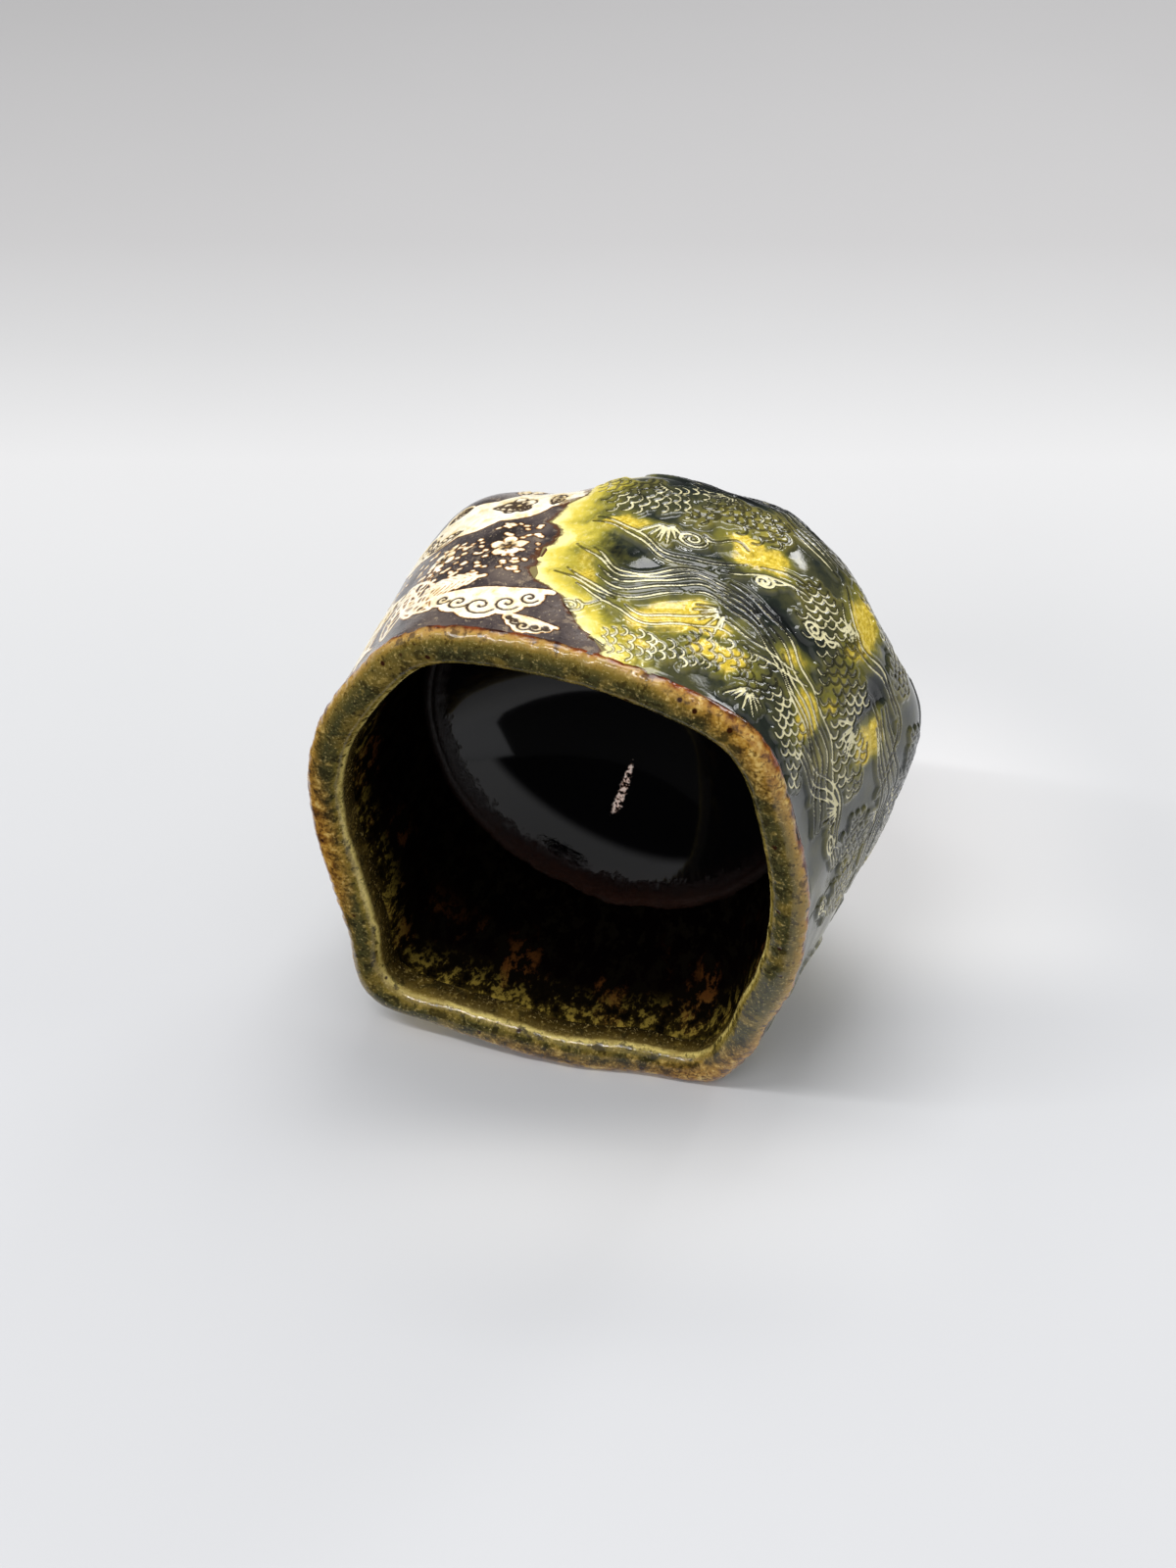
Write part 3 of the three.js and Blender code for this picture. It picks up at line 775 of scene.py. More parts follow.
def add(tree, kind, *values, out="", stops=(), **named):
    """Adds a shader node and gives one of its outputs, the first unless it is named.

    Values go to its inputs in order. A keyword with a capital is an input and any other is a
    setting, and stops are a ramp's positions and colours. A text is a colour, except in a setting.
    """
    node = tree.nodes.new("ShaderNode" + kind)
    given = []
    for name, value in named.items():
        if name[0].isupper():
            given.append((node.inputs[name.replace("_", " ")], value))
        else:
            setattr(node, name, value)
    if stops:
        for _ in stops[2:]:
            node.color_ramp.elements.new(0.5)
        for element, (position, colour) in zip(node.color_ramp.elements, stops):
            element.position, element.color = position, (*linear(colour), 1.0)
    given += zip([socket for socket in node.inputs if socket.enabled], values)
    for socket, value in given:
        if isinstance(value, bpy.types.NodeSocket):
            tree.links.new(value, socket)
        else:
            socket.default_value = (*linear(value), 1.0) if isinstance(value, str) else value
    shown = [socket for socket in node.outputs if socket.enabled]
    return node.outputs[out] if out else shown[0] if shown else None


def nudged(tree, mark, *nudges):
    """A mark of the mesh, moved up and down by patterns, each by up to its own reach."""
    value = add(tree, "Attribute", attribute_name=mark, out="Fac")
    for pattern, reach in nudges:
        nudge = add(tree, "Math", pattern, 2 * reach, -reach, operation="MULTIPLY_ADD")
        value = add(tree, "Math", value, nudge)
    return value


def where(tree, *limits, strength=1.0):
    """A share that reaches its strength where each value has gone from its first limit to its
    second."""
    share = None
    for value, start, end in limits:
        passed = add(tree, "MapRange", value, start, end, 0.0, strength, **SMOOTH)
        share = passed if share is None else add(tree, "Math", share, passed, **TIMES)
        strength = 1.0
    return share


def layered(tree, base, *layers):
    """Colours laid over a base: each one's colour, its strength, and the limits of its places."""
    for colour, strength, *limits in layers:
        share = where(tree, *limits, strength=strength)
        base = add(tree, "Mix", share, base, colour, **COLOURS)
    return base


def fired(name):
    """A new material and its tree, with a surface shader and nothing else."""
    material = bpy.data.materials.new(name)
    material.use_nodes = True
    return material, material.node_tree


def dress(tree, colour, relief, strength, depth_mm, **even):
    """Gives the surface shader its colour, its fine relief, and what is even all over it."""
    shader = tree.nodes["Principled BSDF"]
    tree.links.new(colour, shader.inputs["Base Color"])
    relief = add(tree, "Bump", Strength=strength, Distance=depth_mm * MM, Height=relief)
    tree.links.new(relief, shader.inputs["Normal"])
    for name, value in even.items():
        shader.inputs[name.replace("_", " ")].default_value = value


# Finishes --------------------------------------------------------------------------------------

def stoneware():
    """Fired iron-bearing clay: dry and gritty, with sand and dark specks that catch the light."""
    material, tree = fired("bare_stoneware")
    spot = add(tree, "TexCoord", out="Object")
    broad = add(tree, "TexNoise", Vector=spot, Scale=1 / (5 * MM), Detail=4, Roughness=0.55)
    grit = add(tree, "TexNoise", Vector=spot, Scale=1 / (0.35 * MM), Detail=4, Roughness=0.7)
    specks = add(tree, "TexVoronoi", Vector=spot, Scale=1 / (0.9 * MM))
    base = add(tree, "ValToRGB", broad, stops=(
        (0.3, "#7a5236"), (0.5, "#94694a"), (0.7, "#a98263")))
    base = layered(
        tree, base,
        ("#4a3022", 0.6, (grit, 0.52, 0.72)),
        ("#2a1a12", 1.0, (specks, 0.16, 0.08)))
    dress(tree, base, grit, 0.6, 0.12, Roughness=0.85)
    return material


def green_glass():
    """Copper-green ash glaze: a thick glossy glass, grey green where it lies deep, amber where it
    thins over the high places, over cut lines that hold pale slip with a dark edge, partly glaze
    pooled in the groove and partly painted shade."""
    material, tree = fired("copper_green_glaze")
    spot = add(tree, "TexCoord", out="Object")
    broad = add(tree, "TexNoise", Vector=spot, Scale=1 / (7 * MM), Detail=3, Roughness=0.5)
    patch = add(tree, "TexNoise", Vector=spot, Scale=1 / (2.2 * MM), Detail=4,
                Roughness=0.6, Distortion=0.4)
    fine = add(tree, "TexNoise", Vector=spot, Scale=1 / (0.5 * MM), Detail=4, Roughness=0.65)

    # The glass itself, from its deep hollows to its high places
    high = nudged(tree, "pooled", (patch, 0.5), (broad, 0.5))
    base = add(tree, "ValToRGB", add(tree, "MapRange", high, -0.6, 0.8), stops=(
        (0.0, "#090d0c"), (0.3, "#20251e"), (0.55, "#414128"), (0.8, "#6a6430"), (1.0, "#9a8f3e")))

    # Amber where it thins, with an olive rim round each place
    thin = nudged(tree, "thin", (patch, 0.2), (fine, 0.05))
    amber = add(tree, "ValToRGB", fine, stops=(
        (0.34, "#a8902a"), (0.5, "#d2b63a"), (0.66, "#e8d46e")))
    base = layered(
        tree, base,
        ("#6e6a2a", 1.0, (thin, 0.12, 0.48)),
        (amber, 1.0, (thin, 0.4, 0.68)))

    # Moss and straw along the slip panel, and a burnt line where the two meet
    edge = nudged(tree, "border", (patch, 2.6))
    moss = add(tree, "ValToRGB", add(tree, "MapRange", edge, -7.0, -0.6), stops=(
        (0.0, "#5c5c26"), (0.4, "#998f30"), (0.75, "#d2bf4c"), (1.0, "#f0e298")))
    moss = layered(
        tree, moss,
        ("#2a3318", 0.85, (broad, 0.42, 0.3)),
        ("#e2da9a", 0.4, (fine, 0.5, 0.72)))
    base = layered(
        tree, base,
        (moss, 1.0, (edge, -7.5, -3.2)),
        ("#3a2210", 0.8, (nudged(tree, "border", (fine, 0.5)), -0.55, -0.1)))

    # Cut lines: a dark edge, partly glaze pooled in the groove and partly painted shade, then pale
    # slip, worn away here and there
    line = nudged(tree, "cut", (fine, 0.08))
    worn = add(tree, "Math", line, add(tree, "MapRange", broad, 0.62, 0.4, -0.05, 0.03, **SMOOTH))
    slip = add(tree, "Mix", patch, "#c0b67e", "#f6f0cc", **COLOURS)
    base = layered(
        tree, base,
        ("#0e0e08", 0.75, (line, -0.2, -0.06)),
        (slip, 1.0, (worn, -0.05, 0.03)))

    relief = add(tree, "Math", add(tree, "Math", patch, 0.7, **TIMES),
                 add(tree, "Math", fine, 0.3, **TIMES))
    dress(tree, base, relief, 0.3, 0.14, Roughness=0.08, IOR=1.54)
    return material


def slip_panel_finish():
    """Iron-black slip under clear glaze: grey brown and glossy, rubbed and scratched, with cream
    slip laid in that burns amber at its edges."""
    material, tree = fired("black_slip_under_glaze")
    spot = add(tree, "TexCoord", out="Object")
    broad = add(tree, "TexNoise", Vector=spot, Scale=1 / (6 * MM), Detail=3, Roughness=0.55)
    patch = add(tree, "TexNoise", Vector=spot, Scale=1 / (1.6 * MM), Detail=4,
                Roughness=0.65, Distortion=0.5)
    fine = add(tree, "TexNoise", Vector=spot, Scale=1 / (0.4 * MM), Detail=4, Roughness=0.7)
    inlay, line = nudged(tree, "inlay", (fine, 0.16)), nudged(tree, "vein", (fine, 0.06))
    cream = add(tree, "ValToRGB", patch, stops=(
        (0.32, "#dcc892"), (0.5, "#f4ebd0"), (0.7, "#fbf7e8")))
    base = add(tree, "ValToRGB", broad, stops=(
        (0.35, "#2a2322"), (0.5, "#463d3c"), (0.68, "#665a52")))
    base = layered(
        tree, base,
        ("#8d7c68", 0.75, (patch, 0.52, 0.7)),
        ("#c9b792", 0.7, (fine, 0.6, 0.72)),
        ("#1a1110", 0.7, (fine, 0.42, 0.3)),
        ("#2e180c", 0.85, (inlay, -0.36, -0.16)),
        ("#b5844a", 1.0, (inlay, -0.17, -0.08)),
        (cream, 1.0, (inlay, -0.08, 0.02)),
        ("#b08a4a", 0.5, (line, -0.2, -0.04)),
        ("#2e1d14", 0.95, (line, -0.06, 0.02)),
        ("#5a3414", 0.7, (nudged(tree, "border", (patch, 1.2)), 0.7, 0.1)))
    dress(tree, base, add(tree, "Math", patch, fine), 0.35, 0.12, Roughness=0.13, IOR=1.5)
    return material


def lip_finish():
    """Ash glaze over the lip: rust brown and cream where its outer edge burns through, grey olive
    where it lies thick on the crown, straw yellow on the inner ridge with a thin painted highlight
    line along it, and brown below that."""
    material, tree = fired("olive_lip_glaze")
    spot = add(tree, "TexCoord", out="Object")
    broad = add(tree, "TexNoise", Vector=spot, Scale=1 / (4.5 * MM), Detail=3, Roughness=0.5)
    patch = add(tree, "TexNoise", Vector=spot, Scale=1 / (1.4 * MM), Detail=4,
                Roughness=0.6, Distortion=0.1)
    fine = add(tree, "TexNoise", Vector=spot, Scale=1 / (0.35 * MM), Detail=4, Roughness=0.7)

    # Across the lip, from its outer foot to the end of the band inside
    section = nudged(tree, "section", (patch, 1.0))
    # The bright cream stop on the inner ridge is the straw glaze lifted into a thin painted
    # highlight line
    base = add(tree, "ValToRGB", add(tree, "MapRange", section, 0.0, 10.0), stops=(
        (0.02, "#240f07"), (0.07, "#743814"), (0.11, "#c09350"), (0.17, "#9c7c38"),
        (0.26, "#5c5024"), (0.36, "#38371f"), (0.5, "#403c20"), (0.59, "#7a6a2c"),
        (0.64, "#d6c272"), (0.7, "#64542a"), (0.84, "#3a2e10"), (0.98, "#140e05")))
    base = layered(
        tree, base,
        ("#7c672c", 0.5, (broad, 0.5, 0.64)),
        ("#967f40", 0.4, (patch, 0.56, 0.68)),
        ("#cdb678", 0.4, (fine, 0.56, 0.68)),
        ("#1f1c0c", 0.7, (patch, 0.47, 0.38)),
        ("#2e1c0a", 0.6, (fine, 0.44, 0.34)))

    # A crackled crust where the fire burnt it, strongest on the outer half
    crust = add(tree, "ValToRGB", patch, stops=(
        (0.36, "#5c3410"), (0.46, "#8e5f20"), (0.56, "#ab8034"), (0.7, "#cfb068")))
    cracks = add(tree, "TexVoronoi", Vector=spot, Scale=1 / (1.5 * MM),
                 feature="DISTANCE_TO_EDGE")
    cracks = add(tree, "Math", cracks,
                 add(tree, "Math", fine, 0.5, -0.25, operation="MULTIPLY_ADD"))
    crust = layered(
        tree, crust,
        ("#6a3410", 0.6, (fine, 0.44, 0.36)),
        ("#2e1206", 0.6, (cracks, 0.06, 0.0)))
    worn = add(tree, "Math", nudged(tree, "burnt", (patch, 0.3)),
               add(tree, "Math", section, 0.08, **TIMES), operation="SUBTRACT")
    rust = add(tree, "ValToRGB", broad, stops=((0.4, "#2c1008"), (0.6, "#7a3412")))
    pits = add(tree, "TexVoronoi", Vector=spot, Scale=1 / (2.7 * MM))
    pits = where(tree, (pits, 0.15, 0.08), (broad, 0.46, 0.52))
    base = layered(
        tree, base,
        (crust, 0.9, (worn, 0.15, 0.5)),
        (rust, 1.0, (section, 1.7, 0.6), (fine, 0.36, 0.5)))
    base = add(tree, "Mix", pits, base, "#2a1206", **COLOURS)

    relief = add(tree, "Math", fine, 0.4, patch, operation="MULTIPLY_ADD")
    relief = add(tree, "Math", relief, pits, operation="SUBTRACT")
    dress(tree, base, relief, 0.32, 0.14, Roughness=0.05, Specular_IOR_Level=0.45)
    return material


def lining_finish():
    """Dark lining: iron glaze that ran down the wall, olive and brown in streaks below the lip, and
    nearly black deeper down, where the dark glaze is deepened further by painted shade."""
    material, tree = fired("dark_mottled_lining")
    spot = add(tree, "VectorMath", add(tree, "TexCoord", out="Object"), (1, 1, 0.7), **TIMES)
    broad = add(tree, "TexNoise", Vector=spot, Scale=1 / (5 * MM), Detail=4, Roughness=0.6)
    patch = add(tree, "TexNoise", Vector=spot, Scale=1 / (1.8 * MM), Detail=5,
                Roughness=0.7, Distortion=0.1)
    fine = add(tree, "TexNoise", Vector=spot, Scale=1 / (0.45 * MM), Detail=4, Roughness=0.7)
    depth = nudged(tree, "below_lip", (patch, 4.0))
    # Darker with depth below the lip: the glaze's own dark colour with painted shade of the hollow
    # on top
    base = add(tree, "ValToRGB", add(tree, "MapRange", depth, 0.0, 14.0), stops=(
        (0.0, "#6b5f26"), (0.1, "#463b16"), (0.22, "#221a08"), (0.4, "#0c0804"), (0.65, "#040202"),
        (1.0, "#020101")))
    base = layered(
        tree, base,
        ("#482a10", 1.0, (broad, 0.5, 0.64), (depth, 16.0, 6.0), (patch, 0.46, 0.6)),
        ("#070503", 1.0, (patch, 0.52, 0.4), (depth, -1.0, 2.0)),
        ("#8a7632", 1.0, (patch, 0.5, 0.62), (depth, 9.0, 2.0), (fine, 0.34, 0.52)))
    relief = add(tree, "Math", patch, add(tree, "Math", fine, 0.4, **TIMES))
    dress(tree, base, relief, 0.35, 0.12, Roughness=0.35, Specular_IOR_Level=0.0)
    return material


def pool_finish():
    """Black glaze run together in the well: as smooth as still water, brown where it burnt along
    its lower edge, with one rough scar whose pale crumbs are whitened as a painted glint."""
    material, tree = fired("black_pooled_glaze")
    spot = add(tree, "TexCoord", out="Object")
    patch = add(tree, "TexNoise", Vector=spot, Scale=1 / (1.2 * MM), Detail=4,
                Roughness=0.6, Distortion=0.4)
    fine = add(tree, "TexNoise", Vector=spot, Scale=1 / (0.3 * MM), Detail=4, Roughness=0.7)
    crumb = add(tree, "TexNoise", Vector=spot, Scale=1 / (0.5 * MM), Detail=3, Roughness=0.7)
    burnt = nudged(tree, "burnt")
    rim = nudged(tree, "from_rim", (patch, 1.6))
    brown = add(tree, "ValToRGB", add(tree, "MapRange", rim, 0.0, 3.4), stops=(
        (0.0, "#28150e"), (0.25, "#1c0f0b"), (0.6, "#0e0808"), (1.0, "#050506")))
    base = add(tree, "Mix", burnt, "#050506", brown, **COLOURS)
    # The scar's pale crumbs, whitened further as a painted glint
    scar_crumbs_and_glint = add(tree, "ValToRGB", crumb, stops=((0.46, "#d08c6c"), (0.53, "#ffeade")))
    scar = nudged(tree, "scar", (fine, 0.6))
    base = layered(tree, base, (scar_crumbs_and_glint, 1.0, (scar, 0.3, 0.6), (crumb, 0.45, 0.5)))

    # Rough only where it burnt along its edge, and in the smudge
    grit = add(tree, "Math", burnt, where(tree, (rim, 2.2, 0.4)), **TIMES)
    grit = add(tree, "Math", add(tree, "Math", grit, fine, **TIMES), 0.5, **TIMES)
    relief = add(tree, "Math", nudged(tree, "smudge"), patch, grit, operation="MULTIPLY_ADD")
    dress(tree, base, relief, 0.9, 1.2, Roughness=0.07, IOR=1.42)
    return material


# Settings that a user would change ---------------------------------------------------------------

def length(name, description, default):
    return bpy.props.FloatProperty(name=name, description=description, default=default,
                                   min=0.0, unit="LENGTH", subtype="DISTANCE")


def tint(name, description, default):
    return bpy.props.FloatVectorProperty(name=name, description=description, size=3,
                                         subtype="COLOR", min=0.0, max=1.0, default=linear(default))


class CupSizes(bpy.types.PropertyGroup):
    mouth_radius: length("Mouth radius", "Outer edge of the lip, the mean all round", 0.032)
    mouth_height: length("Mouth height", "Top of the lip above the foot, the mean all round", 0.044)
    lip_thickness: length("Lip thickness", "Clay and glaze together", 0.0042)
    lip_crown: length("Lip crown", "Height of the lip's rounded top", 0.0016)
    belly_radius: length("Belly radius", "The body at its fullest, the mean all round", 0.033)
    belly_height: length("Belly height", "Where the body is fullest", 0.017)
    foot_height: length("Foot height", "The foot ring under the wall", 0.0028)
    foot_radius: length("Foot radius", "Outer edge of the resting face", 0.020)
    foot_width: length("Foot width", "Width of the foot ring", 0.0046)
    pool_radius: length("Pool radius", "Edge of the pooled glaze", 0.023)
    pool_height: length("Pool height", "Height of that edge", 0.0214)
    bowl_bottom: length("Bowl bottom", "Top of the pooled glaze in the middle", 0.0107)


class StageSettings(bpy.types.PropertyGroup):
    floor: tint("Floor", "Colour of the floor", "#dfdfe0")
    backdrop: tint("Backdrop", "Colour behind the floor", "#c8c8c8")


# Operators ---------------------------------------------------------------------------------------

def turn_foot_ring(size, clay):
    """The foot ring: its section spun round, then made a little uneven by hand."""
    foot = size.foot_height / MM
    outer, inner = size.foot_radius / MM, (size.foot_radius - size.foot_width) / MM
    section = [(inner - 0.5, foot - 0.02), (inner, foot - 0.6), (inner + 0.1, 0.7),
               (inner + 0.9, 0.05), (outer - 1.0, 0.0), (outer - 0.25, 0.3), (outer, 0.9),
               (outer + 0.35, 1.8), (outer + 1.2, foot - 0.02)]
    bm = bmesh.new()
    ring = [bm.verts.new((r * MM, 0, z * MM)) for r, z in section]
    edges = [bm.edges.new(pair) for pair in zip(ring, ring[1:] + ring[:1])]
    bmesh.ops.spin(bm, geom=ring + edges, cent=(0, 0, 0), axis=(0, 0, 1), steps=160,
                   angle=math.tau, use_merge=True)
    bmesh.ops.remove_doubles(bm, verts=bm.verts, dist=1e-6)
    bmesh.ops.recalc_face_normals(bm, faces=bm.faces)
    for vert in bm.verts:
        turn = math.degrees(math.atan2(vert.co.y, vert.co.x))
        wobble = float(mottle(turn * ARC, vert.co.z / MM, 6, 61)) * 0.12 * MM
        reach = 1 + wobble / max(vert.co.xy.length, 1e-6) * (vert.co.z < 0.0026)
        vert.co.x, vert.co.y = vert.co.x * reach, vert.co.y * reach
    for face in bm.faces:
        face.smooth = True
    piece = placed("foot_ring_clay", mesh_of(bm, "foot_ring_clay", clay))
    hand_over(piece, "foot_ring")


class Cup_OT_clay(bpy.types.Operator):
    """Builds the clay wall, its floor slab and the foot ring"""
    bl_idname = "sake_cup.clay"
    bl_label = "Clay Body"

    def execute(self, context):
        size = context.scene.cup_sizes
        clay = stoneware()
        turn = np.linspace(0, 360, 257)[None, :]
        foot = size.foot_height / MM

        share = np.concatenate([[0, 0.012, 0.03], np.linspace(0.05, 0.99, 20)])
        height = mix(foot, shoulder(turn), share[:, None])
        face = place(turn, wall_radius(turn, height), height)
        depth = np.where(share < 0.045, HEEL_DEPTH, WALL_DEPTH)
        outside = face - face_normals(face) * depth[:, None, None] * MM
        hole = place(turn, SLAB_RADIUS + 0 * turn, foot + 0 * turn, 1.0)
        ground = [mix(hole, outside[:1], s) for s in (0, 0.35, 0.7, 0.94)]
        for layer in ground:
            layer[..., 2] = foot * MM
        top = [place(turn, *crown_ring(turn, s, LIP_CLAY_DEPTH)) for s in (0.15, 0.4, 0.6, 0.85)]
        inside = [place(turn, *hollow_wall(turn, s, LIP_CLAY_DEPTH))
                  for s in np.linspace(0.03, 0.96, 10)]
        well = [place(turn, *bowl(arc + 0 * turn, WELL_CLAY_DEPTH))
                for arc in np.linspace(BOWL_EDGE, 0.3825, 8)]
        points = stack(*ground, outside, *top, *inside, *well, ground[0])
        carried_piece("clay_wall_body", points, {}, "clay_wall", clay)

        turn = np.linspace(0, 360, 129)[None, :]
        flat = 0 * turn
        under = [place(turn, r + flat, foot + 0.4 * (1 - (r / SLAB_RADIUS) ** 2) + flat, 1.0)
                 for r in (0.0, 3, 6, 9, 11, 11.95)]
        over = [place(turn, *bowl(arc + flat, WELL_CLAY_DEPTH)) for arc in np.linspace(0.378, 0, 6)]
        carried_piece("clay_floor_slab", stack(*under, *over), {}, "clay_floor", clay)
        turn_foot_ring(size, clay)
        return {"FINISHED"}


class Cup_OT_outer_coats(bpy.types.Operator):
    """Glazes the outside: the carved green coat in two pieces and the slip panel"""
    bl_idname = "sake_cup.outer_coats"
    bl_label = "Outer Coats"

    def execute(self, context):
        sheets = draw_wall()
        green = green_glass()
        first, last = SLIP_EDGES[0, 1], SLIP_EDGES[0, 2]
        seam = 186  # the turn where the two green pieces meet
        outer_coat("green_coat_front", seam, first, 325, sheets, "green_glaze", "green_glaze",
                   green)
        outer_coat("green_coat_back", last - 360, seam, 300, sheets, "green_glaze", "green_glaze",
                   green)
        outer_coat("slip_panel", first, last, 330, sheets, "black_slip", "black_slip_panel",
                   slip_panel_finish())
        return {"FINISHED"}


class Cup_OT_lip(bpy.types.Operator):
    """Lays the glaze band over the lip"""
    bl_idname = "sake_cup.lip"
    bl_label = "Lip Glaze"

    def execute(self, context):
        turn = np.linspace(0, 360, 721)[None, :]
        x = turn * ARC
        below = np.array([-0.75, -0.45, -0.2])[:, None]
        height = shoulder(turn) + below
        start = place(turn, wall_radius(turn, height), height)
        start = start + face_normals(start) * (np.array([-0.35, -0.02, 0.05])[:, None, None] * MM)
        share = np.linspace(0.02, 1, 22)
        over = [place(turn, *crown_ring(turn, s, 0.0)) for s in share]
        inner = [place(turn, *hollow_wall(turn, s)) for s in np.linspace(0.02, 0.145, 8)]
        face = stack(start, *over, *inner)
        steps = np.linalg.norm(np.diff(face[:, 0], axis=0), axis=1)
        along = np.concatenate([[0], np.cumsum(steps)])[:, None] / MM + 0 * turn
        crust = np.exp(-((along - 1.1) / 0.8) ** 2)
        relief = 0.1 * mottle(x, along, 5, 91) + 0.04 * rough(x, along, 1.6, 92)
        relief = relief + crust * (0.08 + 0.14 * rough(x, along, 0.9, 93))
        relief = relief + 0.14 * np.exp(-((along - 6.9) / 0.35) ** 2)
        relief[:1] = 0
        outer = face + face_normals(face) * (relief * MM)[..., None]
        back = [place(turn, *hollow_wall(turn, s, LIP_BACK)) for s in (0.145, 0.03)]
        back += [place(turn, *crown_ring(turn, s, LIP_BACK)) for s in (0.85, 0.6, 0.4, 0.15)]
        marks = closed({"section": along}, len(back)) | {"burnt": around(LIP_BURNT, turn)}
        points = stack(outer, *back, outer[:1])
        carried_piece("lip_band", points, marks, "lip_glaze", lip_finish())
        return {"FINISHED"}


class Cup_OT_lining(bpy.types.Operator):
    """Lines the hollow between the lip and the pool"""
    bl_idname = "sake_cup.lining"
    bl_label = "Inner Lining"

    def execute(self, context):
        turn = np.linspace(0, 360, 601)[None, :]
        x = turn * ARC
        share = np.linspace(0.115, 0.995, 80)
        face = stack(*[place(turn, *hollow_wall(turn, s)) for s in share])
        depth = share[:, None] * (shoulder(turn) - context.scene.cup_sizes.pool_height / MM)
        relief = 0.25 * mottle(x, depth, 7, 101) + 0.07 * rough(x, depth, 1.6, 102, 4)
        relief[:2] = -0.15
        outer = face + face_normals(face) * (relief * MM)[..., None]
        back = [place(turn, *hollow_wall(turn, s, LINING_BACK))
                for s in np.linspace(0.985, 0.125, 5)]
        points, marks = stack(outer, *back, outer[:1]), closed({"below_lip": depth}, len(back))
        carried_piece("dark_lining", points, marks, "inner_glaze", lining_finish())
        return {"FINISHED"}


class Cup_OT_pool(bpy.types.Operator):
    """Pours the black glaze that has run together in the well"""
    bl_idname = "sake_cup.pool"
    bl_label = "Pooled Glaze"

    def execute(self, context):
        size = context.scene.cup_sizes
        turn = np.linspace(0, 360, 481)[None, :]
        x = turn * ARC
        low = np.exp(-(aside(turn, 88) / 42) ** 2)
        ragged = (0.25 + 0.75 * low) * rough(x, 3.0 + 0 * x, 4.0, 111, 4)
        face = []
        for step in np.linspace(0.12, 0.95, 7):
            arc, half = math.pi * step, 0.8
            radius = size.pool_radius / MM + half + half * np.cos(arc) + 0 * turn
            height = size.pool_height / MM + 0.6 * np.sin(arc) + ragged * 0.5
            face.append(place(turn, radius, height, 1.0))
        arcs = np.linspace(BOWL_EDGE, 0, 56)
        for arc in arcs:
            radius, height, moved = bowl(arc + 0 * turn, 0.0)
            lift = ragged * 0.5 * max(0.0, 1 - (BOWL_EDGE - arc) / 0.15) ** 2
            face.append(place(turn, radius, height + lift, moved))
        back = [place(turn, *bowl(arc + 0 * turn, POOL_BACK))
                for arc in np.linspace(0, BOWL_EDGE, 8)]
        points = stack(*face, *back, face[0])
        slope = np.concatenate([np.full(7, BOWL_EDGE), arcs, np.zeros(len(back) + 1)])[:, None]
        down = (BOWL_EDGE - slope) / BOWL_EDGE * 26
        tilt = np.degrees(slope)
        scar_middle = 85.5 - 0.25 * (tilt - 25)
        scar = np.exp(-(aside(turn, scar_middle) / 2.4) ** 2 - ((tilt - 25) / 7.0) ** 4)
        smudge = np.exp(-(aside(turn, 71) / 8) ** 2 - ((tilt - 45.6) / 1.5) ** 2)
        marks = {"from_rim": down, "burnt": 0.15 + 0.85 * low, "scar": scar, "smudge": smudge}
        carried_piece("black_pool", points, marks, "glaze_pool", pool_finish())
        return {"FINISHED"}


# Stage -------------------------------------------------------------------------------------------

